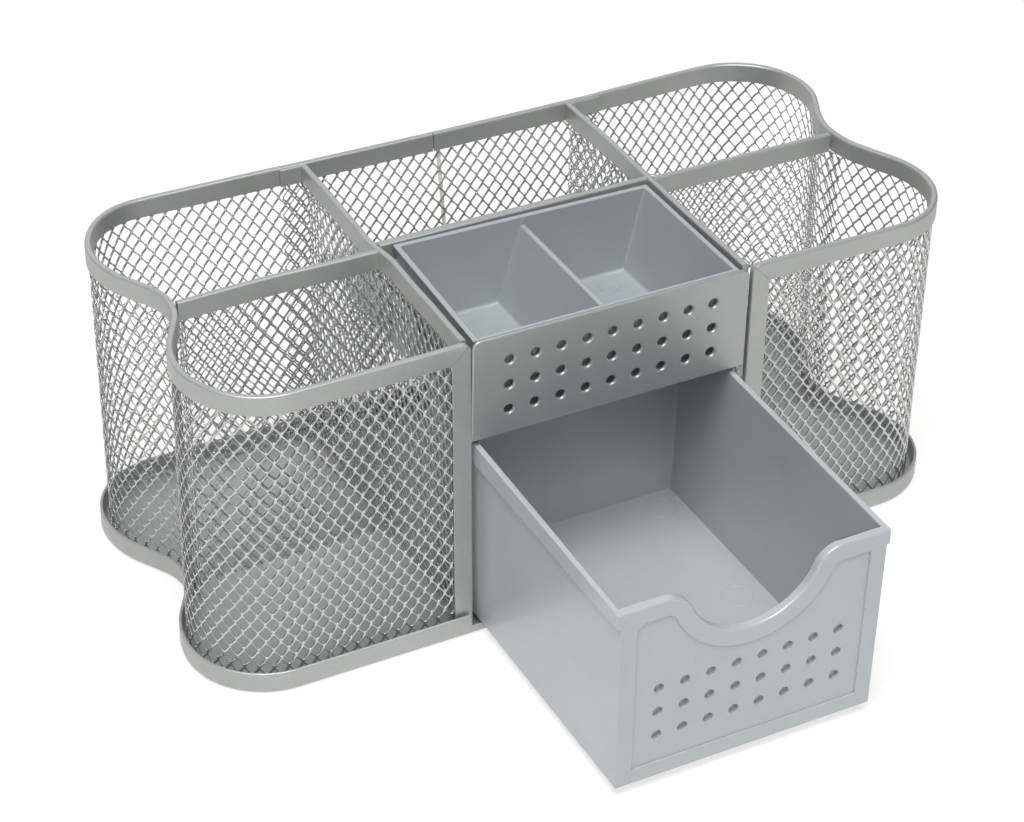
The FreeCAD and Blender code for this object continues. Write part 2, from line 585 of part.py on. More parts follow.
# the lips slope down to the sheet at the back
sk = sketch(bd, "shelf_lip_slope", "YZ_Plane")
polygon(sk, [(D["shelf_back"] + 0.4, shelf_top), (D["shelf_back"] + 0.4, shelf_top + 4),
             (D["shelf_back"] - D["shelf_lip"], shelf_top + 4),
             (D["shelf_back"] - D["shelf_lip"], shelf_top + D["shelf_lip"]),
             (D["shelf_back"], shelf_top)])
pocket(bd, sk, 2 * D["shelf_half"] + 4, midplane=True, name="shelf_lip_slope_cut")
keep(bd, "bay_shelf")

# ------------------------------------------------------- perforated front plate
bd = body("plate_body")
sk = sketch(bd, "plate_face", "XZ_Plane", D["plate_front"] - D["plate_thick"],
            "dims.plate_front - dims.plate_thick")
w, lo, hi, r = D["plate_half"], D["plate_low"], D["rim_top"], D["plate_round"]
n = sk.GeometryCount
z = V(0, 0, 1)
sk.addGeometry(Part.LineSegment(V(-w, lo, 0), V(w, lo, 0)), False)
sk.addGeometry(Part.LineSegment(V(w, lo, 0), V(w, hi - r, 0)), False)
sk.addGeometry(Part.ArcOfCircle(Part.Circle(V(w - r, hi - r, 0), z, r), 0, math.pi / 2), False)
sk.addGeometry(Part.LineSegment(V(w - r, hi, 0), V(-w + r, hi, 0)), False)
sk.addGeometry(Part.ArcOfCircle(Part.Circle(V(-w + r, hi - r, 0), z, r), math.pi / 2, math.pi), False)
sk.addGeometry(Part.LineSegment(V(-w, hi - r, 0), V(-w, lo, 0)), False)
C = Sketcher.Constraint
sk.addConstraint(C("Coincident", 0, 2, 1, 1))
sk.addConstraint(C("Tangent", 1, 2, 2, 1))
sk.addConstraint(C("Tangent", 2, 2, 3, 1))
sk.addConstraint(C("Tangent", 3, 2, 4, 1))
sk.addConstraint(C("Tangent", 4, 2, 5, 1))
sk.addConstraint(C("Coincident", 5, 2, 0, 1))
sk.addConstraint(C("Horizontal", 0))
sk.addConstraint(C("Vertical", 1))
sk.addConstraint(C("Vertical", 5))
sk.addConstraint(C("Equal", 2, 4))
con(sk, "Radius", 2, r, name="round", expr="dims.plate_round")
con(sk, "DistanceX", -1, 1, 0, 2, w, name="right", expr="dims.plate_half")
con(sk, "DistanceX", 0, 1, -1, 1, w, name="left", expr="dims.plate_half")
con(sk, "DistanceY", -1, 1, 0, 1, lo, name="low", expr="dims.plate_low")
con(sk, "DistanceY", -1, 1, 3, 1, hi, name="high", expr="dims.rim_top")
pad(bd, sk, D["plate_thick"], "dims.plate_thick", name="plate_sheet")
# one perforation, repeated along and down
sk = sketch(bd, "perforation", "XZ_Plane", D["plate_front"] + 1)
sk.addGeometry(Part.Circle(V(-4 * D["hole_pitch"], D["hole_first"], 0), z, D["hole_dia"] / 2), False)
con(sk, "Diameter", 0, D["hole_dia"], name="dia", expr="dims.hole_dia")
con(sk, "DistanceY", -1, 1, 0, 3, D["hole_first"], name="row", expr="dims.hole_first")
con(sk, "DistanceX", 0, 3, -1, 1, 4 * D["hole_pitch"], name="column", expr="4 * dims.hole_pitch")
hole = pocket(bd, sk, D["plate_thick"] + 2, name="perforation_cut")
multi = bd.newObject("PartDesign::MultiTransform", "perforations")
multi.Originals = [hole]
rows = doc.addObject("PartDesign::LinearPattern", "plate_columns")
cols = doc.addObject("PartDesign::LinearPattern", "plate_rows")
for pat, axis, length, count, ex in (
        (rows, "X_Axis", 8 * D["hole_pitch"], 9, "8 * dims.hole_pitch"),
        (cols, "Z_Axis", 2 * D["hole_row"], 3, "2 * dims.hole_row")):
    bd.addObject(pat)
    pat.Direction = (plane(bd, axis), [""])
    pat.Length = length
    pat.setExpression("Length", ex)
    pat.Occurrences = count
cols.Reversed = True
multi.Transformations = [rows, cols]
before = bd.Shape.Volume
bd.Tip = multi
doc.recompute()
one = math.pi * (D["hole_dia"] / 2) ** 2 * D["plate_thick"]
if abs((before - bd.Shape.Volume) / one - 26) > 0.05:
    raise RuntimeError("perforations: %.2f" % ((before - bd.Shape.Volume) / one))
# ears that fold back along the bay sides
sk = sketch(bd, "ears", "XZ_Plane", D["plate_front"] - D["plate_thick"] - D["ear_deep"],
            "dims.plate_front - dims.plate_thick - dims.ear_deep")
for s in (1, -1):
    xa, xb = sorted((s * (D["plate_half"] - D["ear_gauge"]), s * D["plate_half"]))
    rectangle(sk, xa, xb, D["ear_low"], D["ear_high"])
pad(bd, sk, D["ear_deep"] + 0.3, "dims.ear_deep + 0.3", name="ear_pad")
keep(bd, "front_plate")

# ------------------------------------------------------------ rear joint strip
bd = body("rear_strip_body")
sk = sketch(bd, "rear_strip_face", "XZ_Plane", -(D["path_half_depth"] + D["mesh_gauge"] / 2),
            "-(dims.path_half_depth + dims.mesh_gauge / 2)")
t, top, lean = D["strip_half"], D["rim_top"] - D["rim_tall"], D["strip_lean"]
polygon(sk, [(D["strip_foot"] - t, D["pan_tall"]), (D["strip_foot"] + t, D["pan_tall"]),
             (D["strip_foot"] - lean + t, top), (D["strip_foot"] - lean - t, top)])
pad(bd, sk, D["strip_gauge"], "dims.strip_gauge", reversed_=True)
keep(bd, "rear_seam_strip")

# -------------------------------------------------------------------- drawer
def ring(bd, name, level, at):
    """Shallow round marks on a moulded floor."""
    sk = sketch(bd, name + "_marks", "XY_Plane", level)
    for x, y, r in at:
        for k in (r, r - 0.45):
            sk.addGeometry(Part.Circle(V(x, y, 0), V(0, 0, 1), k), False)
    pocket(bd, sk, 0.18, name=name + "_cut")


bd = body("drawer_body")
dl, df = D["drawer_long"], D["drawer_front"]
sk = sketch(bd, "drawer_section", "XZ_Plane", df - dl, "dims.drawer_front - dims.drawer_long")
zt, zb = D["drawer_back_top"], D["drawer_low"]
zs = D["drawer_top"] - D["band_tall"]
hw, hb, hf = D["drawer_half"], D["drawer_body"], D["drawer_foot"]
g = polygon(sk, [(-hf, zb), (hf, zb), (hb, zs), (hw, zs), (hw, zt), (-hw, zt), (-hw, zs), (-hb, zs)])
for k in (2, 6):
    sk.addConstraint(C("Horizontal", k))
for k in (3, 5):
    sk.addConstraint(C("Vertical", k))
sk.addConstraint(C("Symmetric", 0, 1, 0, 2, -2))
sk.addConstraint(C("Symmetric", 4, 1, 4, 2, -2))
sk.addConstraint(C("Equal", 2, 6))
con(sk, "DistanceX", 0, 1, 0, 2, 2 * hf, name="foot", expr="2 * dims.drawer_foot")
con(sk, "DistanceX", 4, 2, 4, 1, 2 * hw, name="band", expr="2 * dims.drawer_half")
con(sk, "DistanceX", 2, 1, 2, 2, hw - hb, name="step", expr="dims.drawer_half - dims.drawer_body")
con(sk, "DistanceY", -1, 1, 0, 1, zb, name="low", expr="dims.drawer_low")
con(sk, "DistanceY", -1, 1, 4, 1, zt, name="high", expr="dims.drawer_back_top")
con(sk, "DistanceY", -1, 1, 2, 1, zs, name="shoulder", expr="dims.drawer_top - dims.band_tall")
con(sk, "DistanceY", -1, 1, 6, 1, zs, name="shoulder_left", expr="dims.drawer_top - dims.band_tall")
pad(bd, sk, dl, "dims.drawer_long", name="drawer_block")
# the sides rise a little towards the back
sk = sketch(bd, "drawer_slope", "YZ_Plane")
polygon(sk, [(-df - 1, D["drawer_top"]), (-(df - D["drawer_face"]), D["drawer_top"]),
             (-(df - dl), zt), (-(df - dl), zt + 5), (-df - 1, zt + 5)])
pocket(bd, sk, 2 * hw + 4, midplane=True, name="drawer_slope_cut")
# the hollow, drafted all round
fl = D["drawer_low"] + D["drawer_floor"]
wl = D["drawer_wall"]
top_sk = sketch(bd, "hollow_top", "XY_Plane", zt + 1)
yb_in, yf_in = -(df - dl) - 1.0, -(df - D["drawer_face"])
rectangle(top_sk, -(hw - wl), hw - wl, yf_in, yb_in)
low_sk = sketch(bd, "hollow_low", "XY_Plane", fl, "dims.drawer_low + dims.drawer_floor")
rectangle(low_sk, -(hf - 1.2), hf - 1.2, yf_in + 0.5, yb_in - 0.2)
before = bd.Shape.Volume
loft = bd.newObject("PartDesign::SubtractiveLoft", "hollow")
loft.Profile = top_sk
loft.Sections = [low_sk]
loft.Ruled = True
doc.recompute()
if not (bd.Shape.Volume < 0.4 * before):
    raise RuntimeError("drawer hollow")
# the underside is hollowed between its runners
sk = sketch(bd, "underside", "XY_Plane", zb, "dims.drawer_low")
rw = D["runner_wide"]
rectangle(sk, -(hf - rw), hf - rw, -df + rw + 1, -(df - dl) - rw)
pocket(bd, sk, D["runner_tall"], "dims.runner_tall", reversed_=True, name="underside_cut")
ring(bd, "drawer_pin", fl, [(31.8, -35.6, 5.0), (30.5, -83.0, 5.0)])
# scooped front edge: shoulders, then one wide dip
sk = sketch(bd, "scoop", "XZ_Plane", df - D["drawer_face"] - 2)
R, Rs = D["scoop_rad"], D["shoulder_rad"]
zc = D["scoop_low"] + R
zsd = D["drawer_top"] - Rs
xs = math.sqrt((R + Rs) ** 2 - (zc - zsd) ** 2)
ang = math.atan2(zc - zsd, xs)            # from shoulder centre towards scoop centre
px, pz = xs - Rs * math.cos(ang), zsd + Rs * math.sin(ang)
sk.addGeometry(Part.ArcOfCircle(Part.Circle(V(0, zc, 0), z, R), math.pi + ang, 2 * math.pi - ang), False)
sk.addGeometry(Part.ArcOfCircle(Part.Circle(V(xs, zsd, 0), z, Rs), math.pi / 2, math.pi - ang), False)
sk.addGeometry(Part.LineSegment(V(xs, D["drawer_top"], 0), V(xs, zt + 4, 0)), False)
sk.addGeometry(Part.LineSegment(V(xs, zt + 4, 0), V(-xs, zt + 4, 0)), False)
sk.addGeometry(Part.LineSegment(V(-xs, zt + 4, 0), V(-xs, D["drawer_top"], 0)), False)
sk.addGeometry(Part.ArcOfCircle(Part.Circle(V(-xs, zsd, 0), z, Rs), ang, math.pi / 2), False)
for k, (ga, pa, gb, pb) in enumerate(((0, 2, 1, 2), (1, 1, 2, 1), (2, 2, 3, 1), (3, 2, 4, 1),
                                      (4, 2, 5, 2), (5, 1, 0, 1))):
    sk.addConstraint(C("Tangent" if k in (0, 5) else "Coincident", ga, pa, gb, pb))
pocket(bd, sk, 8, reversed_=True, name="scoop_cut")
# shallow recessed field on the face, following the scoop
sk = sketch(bd, "face_field", "XZ_Plane", df, "dims.drawer_front")
i_ = D["inset"]
Ri, Rsi = R + i_, Rs - i_
fx, fz0 = hb - i_ + 0.3, D["drawer_low"] + i_ - 0.3
fz1 = D["drawer_top"] - i_
px2, pz2 = xs - Rsi * math.cos(ang), zsd + Rsi * math.sin(ang)
sk.addGeometry(Part.ArcOfCircle(Part.Circle(V(0, zc, 0), z, Ri), math.pi + ang, 2 * math.pi - ang), False)
sk.addGeometry(Part.ArcOfCircle(Part.Circle(V(xs, zsd, 0), z, Rsi), math.pi / 2, math.pi - ang), False)
q, qr = 3.5, 0.9
sk.addGeometry(Part.LineSegment(V(xs, fz1, 0), V(fx - qr, fz1, 0)), False)
sk.addGeometry(Part.ArcOfCircle(Part.Circle(V(fx - qr, fz1 - qr, 0), z, qr), 0, math.pi / 2), False)
sk.addGeometry(Part.LineSegment(V(fx, fz1 - qr, 0), V(fx - 0.4, fz0, 0)), False)
sk.addGeometry(Part.LineSegment(V(fx - 0.4, fz0, 0), V(-fx + 0.4, fz0, 0)), False)
sk.addGeometry(Part.LineSegment(V(-fx + 0.4, fz0, 0), V(-fx, fz1 - q, 0)), False)
sk.addGeometry(Part.ArcOfCircle(Part.Circle(V(-fx + q, fz1 - q, 0), z, q), math.pi / 2, math.pi), False)
sk.addGeometry(Part.LineSegment(V(-fx + q, fz1, 0), V(-xs, fz1, 0)), False)
sk.addGeometry(Part.ArcOfCircle(Part.Circle(V(-xs, zsd, 0), z, Rsi), ang, math.pi / 2), False)
pocket(bd, sk, D["inset_deep"], "dims.inset_deep", name="field_cut")
# blind dimples, one repeated along and down
sk = sketch(bd, "dimple", "XZ_Plane", df, "dims.drawer_front")
sk.addGeometry(Part.Circle(V(-3.5 * D["dimple_pitch"], D["dimple_first"], 0), z, D["dimple_dia"] / 2), False)
con(sk, "Diameter", 0, D["dimple_dia"], name="dia", expr="dims.dimple_dia")
con(sk, "DistanceY", -1, 1, 0, 3, D["dimple_first"], name="row", expr="dims.dimple_first")
con(sk, "DistanceX", 0, 3, -1, 1, 3.5 * D["dimple_pitch"], name="column", expr="3.5 * dims.dimple_pitch")
dimple = pocket(bd, sk, D["inset_deep"] + D["dimple_deep"], "dims.inset_deep + dims.dimple_deep",
                name="dimple_cut")
multi = bd.newObject("PartDesign::MultiTransform", "dimples")
multi.Originals = [dimple]
rows = doc.addObject("PartDesign::LinearPattern", "dimple_columns")
cols = doc.addObject("PartDesign::LinearPattern", "dimple_rows")
for pat, axis, length, count, ex in (
        (rows, "X_Axis", 7 * D["dimple_pitch"], 8, "7 * dims.dimple_pitch"),
        (cols, "Z_Axis", 2 * D["dimple_row"], 3, "2 * dims.dimple_row")):
    bd.addObject(pat)
    pat.Direction = (plane(bd, axis), [""])
    pat.Length = length
    pat.setExpression("Length", ex)
    pat.Occurrences = count
cols.Reversed = True
multi.Transformations = [rows, cols]
before = bd.Shape.Volume
bd.Tip = multi
doc.recompute()
one = math.pi * (D["dimple_dia"] / 2) ** 2 * D["dimple_deep"]
if abs((before - bd.Shape.Volume) / one - 23) > 0.3:
    raise RuntimeError("dimples: %.2f" % ((before - bd.Shape.Volume) / one))
keep(bd, "drawer")

# ---------------------------------------------------------------------- tray
bd = body("tray_body")
tt, tl = D["tray_top"], D["tray_low"]
top_sk = sketch(bd, "tray_mouth", "XY_Plane", tt, "dims.tray_top")
ft, bk, tp = D["tray_front"], D["tray_back"], D["tray_taper"]
# the tray widens a little towards the front, and its mouth is not quite square
rear_l, rear_r = V(-D["tray_rear_left"], -D["tray_back_left"], 0), V(D["tray_rear_right"], -D["tray_back_right"], 0)
front_l, front_r = V(-D["tray_front_left"], -ft, 0), V(D["tray_front_right"], -ft, 0)
polygon(top_sk, [(p.x, p.y) for p in (front_l, front_r, rear_r, rear_l)])


def along(p, q, y):
    return p.x + (q.x - p.x) * (y - p.y) / (q.y - p.y)


def rear_at(x):
    return rear_l.y + (rear_r.y - rear_l.y) * (x - rear_l.x) / (rear_r.x - rear_l.x)


low_sk = sketch(bd, "tray_base", "XY_Plane", tl, "dims.tray_low")
fl, fb = D["tray_foot_front"], D["tray_foot_back"]
wide = D["tray_foot"] + tp * (fl - fb)
polygon(low_sk, [(-wide, -fl), (wide, -fl), (D["tray_foot"], -fb), (-D["tray_foot"], -fb)])
loft = bd.newObject("PartDesign::AdditiveLoft", "tray_block")
loft.Profile = top_sk
loft.Sections = [low_sk]
loft.Ruled = True
doc.recompute()
w, lip = D["tray_wall"], D["tray_lip"]
for s, nm, front_c, rear_c in ((1, "right", front_r, rear_r), (-1, "left", front_l, rear_l)):
    xi = s * D["web_half"]
    a_sk = sketch(bd, nm + "_cell_mouth", "XY_Plane", tt, "dims.tray_top")
    y_front, y_rear = -ft + w, rear_c.y - lip
    polygon(a_sk, [(xi, y_front), (along(front_c, rear_c, y_front) - s * lip, y_front),
                   (along(front_c, rear_c, y_rear) - s * lip, y_rear), (xi, rear_at(xi) - lip)])
    b_sk = sketch(bd, nm + "_cell_floor", "XY_Plane", tl + D["tray_floor"], "dims.tray_low + dims.tray_floor")
    xi, xo = s * D["cell_foot"], D["tray_foot"] - w - 0.3
    polygon(b_sk, [(xi, -fl + w), (s * (xo + tp * (fl - fb - w)), -fl + w), (s * (xo + tp * w), -fb - w), (xi, -fb - w)])
    before = bd.Shape.Volume
    loft = bd.newObject("PartDesign::SubtractiveLoft", nm + "_cell")
    loft.Profile = a_sk
    loft.Sections = [b_sk]
    loft.Ruled = True
    doc.recompute()
    if not (bd.Shape.Volume < before - 5000):
        raise RuntimeError("tray cell")
# the cells meet above the web, whose flat top is lower than the rim
sk = sketch(bd, "web_top", "XY_Plane", tt, "dims.tray_top")
rectangle(sk, -0.94, 0.94, -D["tray_front"] + w + 0.3, rear_at(0) - lip - 0.3)
pocket(bd, sk, D["web_drop"], "dims.web_drop", name="web_drop_cut")
# and it is hollow from below
sk = sketch(bd, "web_hollow", "XZ_Plane", D["tray_back"] + 3.6)
wz = tt - 4.5
polygon(sk, [(-D["cell_foot"] + 1.3, tl), (D["cell_foot"] - 1.3, tl), (0, wz)])
pocket(bd, sk, D["tray_foot_front"] - D["tray_back"] - 3.6 - 1.2, reversed_=True, name="web_hollow_cut")
ring(bd, "tray_pin", D["tray_low"] + D["tray_floor"], [(25.0, -10.3, 3.6)])
keep(bd, "accessory_tray")

# ------------------------------------------------------------------ export
doc.recompute()
bad = []
for obj in doc.Objects:
    state = [s for s in obj.State if s in ("Invalid", "Error")]
    if state:
        bad.append("%s %s" % (obj.Name, state))
    if obj.isDerivedFrom("Sketcher::SketchObject") and obj.solve() != 0:
        bad.append("%s unsolved %d" % (obj.Name, obj.solve()))
for obj in EXPORT:
    shp = obj.Shape
    if shp.isNull() or not shp.isValid() or not shp.Solids:
        bad.append("%s shape" % obj.Label)
if bad:
    raise RuntimeError("failed: " + "; ".join(bad))
for obj in EXPORT:
    shp = obj.Shape
    print("%-22s solids %d faces %3d vol %9.1f box %s" % (
        obj.Label, len(shp.Solids), len(shp.Faces), shp.Volume,
        " ".join("%.2f" % v for v in (shp.BoundBox.XMin, shp.BoundBox.XMax, shp.BoundBox.YMin,
                                      shp.BoundBox.YMax, shp.BoundBox.ZMin, shp.BoundBox.ZMax))))
    shp.exportStep("parts/" + obj.Label + ".step")
print("parts:", len(EXPORT))
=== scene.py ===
import math

import bmesh
import bpy
import numpy as np
from mathutils import Matrix, Vector


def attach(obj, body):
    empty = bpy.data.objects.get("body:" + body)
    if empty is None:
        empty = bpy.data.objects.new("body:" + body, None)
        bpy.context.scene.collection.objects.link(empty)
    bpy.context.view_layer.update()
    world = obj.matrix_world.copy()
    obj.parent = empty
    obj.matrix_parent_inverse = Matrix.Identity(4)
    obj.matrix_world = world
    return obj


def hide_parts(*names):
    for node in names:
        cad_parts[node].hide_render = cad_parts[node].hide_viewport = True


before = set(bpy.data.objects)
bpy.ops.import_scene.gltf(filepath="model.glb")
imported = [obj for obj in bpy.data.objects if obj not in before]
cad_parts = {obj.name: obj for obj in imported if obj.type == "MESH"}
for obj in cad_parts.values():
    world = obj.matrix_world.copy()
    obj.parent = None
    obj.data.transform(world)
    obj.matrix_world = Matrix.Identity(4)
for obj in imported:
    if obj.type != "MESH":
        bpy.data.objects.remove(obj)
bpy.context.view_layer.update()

MM = 0.001
scene = bpy.context.scene


# --------------------------------------------------------------- mesh helpers
def make(name, verts, faces, mat, body="organizer", smooth=True, replaces=(), scale=MM):
    me = bpy.data.meshes.new(name)
    me.from_pydata([tuple(v) for v in (np.asarray(verts, float) * scale)], [], [tuple(f) for f in faces])
    me.validate()
    me.update()
    return finish_mesh(name, me, mat, body, smooth, replaces)


def finish_mesh(name, me, mat, body, smooth=True, replaces=()):
    ob = bpy.data.objects.new(name, me)
    scene.collection.objects.link(ob)
    me.materials.clear()
    me.materials.append(mat)
    if smooth:
        me.shade_smooth()
    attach(ob, body)
    if replaces:
        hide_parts(*replaces)
    return ob


def crease(ob, degrees=35.0, weighted=True):
    """Splits the shading at sharp edges and lets the large faces rule it."""
    me = ob.data
    bm = bmesh.new()
    bm.from_mesh(me)
    limit = math.radians(degrees)
    for e in bm.edges:
        e.smooth = not (len(e.link_faces) == 2 and e.calc_face_angle(0) > limit)
    bm.to_mesh(me)
    bm.free()
    me.shade_smooth()
    for e in me.edges:
        pass
    if weighted:
        m = ob.modifiers.new("weights", "WEIGHTED_NORMAL")
        m.keep_sharp = True
        m.weight = 60
    return ob


# --------------------------------------------------------------------- paths
class Path:
    """Straight runs and arcs in plan, in mm. side says on which hand the
    outward normal lies: +1 left of travel, -1 right of it."""

    def __init__(self, segs, side):
        self.segs, self.side = segs, side
        self.len = []
        for g in segs:
            if g[0] == "L":
                self.len.append(math.dist(g[1], g[2]))
            else:
                self.len.append(abs(g[4] - g[3]) * g[2])
        self.ends = np.cumsum([0.0] + self.len)
        self.total = float(self.ends[-1])

    def at(self, s):
        s = np.atleast_1d(np.asarray(s, float))
        P = np.zeros((len(s), 2))
        T = np.zeros((len(s), 2))
        k = np.clip(np.searchsorted(self.ends, s, side="right") - 1, 0, len(self.segs) - 1)
        for i, g in enumerate(self.segs):
            m = k == i
            if not m.any():
                continue
            u = s[m] - self.ends[i]
            if g[0] == "L":
                a, b = np.array(g[1], float), np.array(g[2], float)
                t = (b - a) / max(self.len[i], 1e-9)
                P[m] = a + u[:, None] * t
                T[m] = t
            else:
                _, c, r, t0, t1 = g
                sg = 1.0 if t1 > t0 else -1.0
                th = t0 + sg * u / r
                P[m] = np.stack([c[0] + r * np.cos(th), c[1] + r * np.sin(th)], 1)
                T[m] = np.stack([-sg * np.sin(th), sg * np.cos(th)], 1)
        N = self.side * np.stack([-T[:, 1], T[:, 0]], 1)
        return P, T, N

    def samples(self, s0=None, s1=None, arc=0.9, run=3.0, dense=()):
        s0 = 0.0 if s0 is None else s0
        s1 = self.total if s1 is None else s1
        out = {round(s0, 4), round(s1, 4)}
        for i, g in enumerate(self.segs):
            a, b = max(s0, self.ends[i]), min(s1, self.ends[i + 1])
            if b <= a:
                continue
            n = max(1, int(math.ceil((b - a) / (run if g[0] == "L" else arc))))
            for j in range(n + 1):
                out.add(round(a + (b - a) * j / n, 4))
        for a, b, st in dense:
            a, b = max(a, s0), min(b, s1)
            n = max(1, int(math.ceil((b - a) / st)))
            for j in range(n + 1):
                out.add(round(a + (b - a) * j / n, 4))
        out = sorted(out)
        keep = [out[0]]
        for v in out[1:]:
            if v - keep[-1] > 0.02:
                keep.append(v)
        return np.array(keep)


FLARE = math.radians(31.0)


def outline(side, hw, hd, r1, r2, r3, x0, x1):
    """Half of the lobed outline: from (x0, back) round the side to (x1, front).
    side is +1 for the right half and -1 for the left half."""
    a = FLARE
    vm = hd - r1
    d = (hw - r2 + r2 * math.cos(a), vm - r2 * math.sin(a))
    run = (d[1] - r3 * math.sin(a)) / math.cos(a)
    e = (d[0] - run * math.sin(a), d[1] - run * math.cos(a))
    cx = e[0] + r3 * math.cos(a)
    h = math.pi / 2
    segs = [("L", (x0, hd), (hw - r1, hd)),
            ("A", (hw - r1, vm), r1, h, 0.0),
            ("A", (hw - r2, vm), r2, 0.0, -a),
            ("L", d, e),
            ("A", (cx, 0.0), r3, math.pi - a, math.pi + a),
            ("L", (e[0], -e[1]), (d[0], -d[1])),
            ("A", (hw - r2, -vm), r2, a, 0.0),
            ("A", (hw - r1, -vm), r1, 0.0, -h),
            ("L", (hw - r1, -hd), (x1, -hd))]
    if side > 0:
        return Path(segs, 1)
    out = []
    for g in segs:
        if g[0] == "L":
            out.append(("L", (-g[1][0], g[1][1]), (-g[2][0], g[2][1])))
        else:
            out.append(("A", (-g[1][0], g[1][1]), g[2], math.pi - g[3], math.pi - g[4]))
    return Path(out, -1)


def bent(points, r, side):
    """Straight runs through points, joined by bends of radius r."""
    segs = []
    cur = np.array(points[0], float)
    for i in range(1, len(points)):
        q = np.array(points[i], float)
        if i == len(points) - 1:
            segs.append(("L", tuple(cur), tuple(q)))
            break
        u = q - np.array(points[i - 1], float)
        u /= np.linalg.norm(u)
        w = np.array(points[i + 1], float) - q
        w /= np.linalg.norm(w)
        a, b = q - u * r, q + w * r
        c = a + w * r
        left = u[0] * w[1] - u[1] * w[0] > 0
        t0 = math.atan2(a[1] - c[1], a[0] - c[0])
        t1 = math.atan2(b[1] - c[1], b[0] - c[0])
        if left and t1 < t0:
            t1 += 2 * math.pi
        if not left and t1 > t0:
            t1 -= 2 * math.pi
        segs.append(("L", tuple(cur), tuple(a)))
        segs.append(("A", tuple(c), r, t0, t1))
        cur = b
    return Path(segs, side)


def sweep(path, prof, s, wave=None):
    """Closed section prof, (outward, up) in mm, along the path at stations s."""
    P, T, N = path.at(s)
    n, m = len(s), len(prof)
    pr = np.array(prof, float)
    V = np.zeros((n, m, 3))
    d = np.repeat(pr[None, :, 0], n, 0)
    z = np.repeat(pr[None, :, 1], n, 0)
    if wave is not None:
        dd, dz = wave(s[:, None], d, z)
        d, z = d + dd, z + dz
    V[..., 0] = P[:, 0, None] + N[:, 0, None] * d
    V[..., 1] = P[:, 1, None] + N[:, 1, None] * d
    V[..., 2] = z
    faces = []
    for i in range(n - 1):
        for j in range(m):
            k = (j + 1) % m
            faces.append((i * m + j, i * m + k, (i + 1) * m + k, (i + 1) * m + j))
    faces.append(tuple(range(m)))
    faces.append(tuple((n - 1) * m + j for j in reversed(range(m))))
    return V.reshape(-1, 3), faces


def outward(me):
    bm = bmesh.new()
    bm.from_mesh(me)
    bmesh.ops.recalc_face_normals(bm, faces=bm.faces)
    bm.to_mesh(me)
    bm.free()


def arc_pts(cx, cz, r, t0, t1, n):
    return [(cx + r * math.cos(math.radians(t0 + (t1 - t0) * i / n)),
             cz + r * math.sin(math.radians(t0 + (t1 - t0) * i / n))) for i in range(n + 1)]


# ----------------------------------------------------------------- materials
def nodes_of(name):
    mat = bpy.data.materials.new(name)
    mat.use_nodes = True
    nt = mat.node_tree
    nt.nodes.clear()
    out = nt.nodes.new("ShaderNodeOutputMaterial")
    bsdf = nt.nodes.new("ShaderNodeBsdfPrincipled")
    nt.links.new(bsdf.outputs[0], out.inputs["Surface"])
    tc = nt.nodes.new("ShaderNodeTexCoord")
    return mat, nt, bsdf, tc.outputs["Object"]


def noise(nt, vec, scale, detail=3.0, rough=0.55, dist=0.0):
    n = nt.nodes.new("ShaderNodeTexNoise")
    n.inputs["Scale"].default_value = scale
    n.inputs["Detail"].default_value = detail
    n.inputs["Roughness"].default_value = rough
    n.inputs["Distortion"].default_value = dist
    nt.links.new(vec, n.inputs["Vector"])
    return n.outputs["Fac"]


def ramp(nt, fac, stops):
    r = nt.nodes.new("ShaderNodeValToRGB")
    el = r.color_ramp.elements
    while len(el) > 1:
        el.remove(el[-1])
    for i, (pos, col) in enumerate(stops):
        e = el[0] if i == 0 else el.new(pos)
        e.position = pos
        e.color = tuple(col) + (1.0,) if len(col) == 3 else tuple(col)
    nt.links.new(fac, r.inputs["Fac"])
    return r.outputs["Color"]


def maprange(nt, fac, a, b, c, d):
    m = nt.nodes.new("ShaderNodeMapRange")
    m.inputs["From Min"].default_value = a
    m.inputs["From Max"].default_value = b
    m.inputs["To Min"].default_value = c
    m.inputs["To Max"].default_value = d
    nt.links.new(fac, m.inputs["Value"])
    return m.outputs["Result"]


def mixcol(nt, fac, a, b, mode="MIX"):
    m = nt.nodes.new("ShaderNodeMix")
    m.data_type = "RGBA"
    m.blend_type = mode
    for sock, val in (("Factor", fac), ("A", a), ("B", b)):
        inp = [i for i in m.inputs if i.name == sock and (i.type == "RGBA" or sock == "Factor" and i.type == "VALUE")][0]
        if hasattr(val, "is_output"):
            nt.links.new(val, inp)
        elif sock == "Factor":
            inp.default_value = val
        else:
            inp.default_value = tuple(val) + (1.0,)
    return [o for o in m.outputs if o.type == "RGBA"][0]


def bump(nt, height, dist, strength=1.0, after=None):
    b = nt.nodes.new("ShaderNodeBump")
    b.inputs["Strength"].default_value = strength
    b.inputs["Distance"].default_value = dist
    nt.links.new(height, b.inputs["Height"])
    if after is not None:
        nt.links.new(after, b.inputs["Normal"])
    return b.outputs["Normal"]


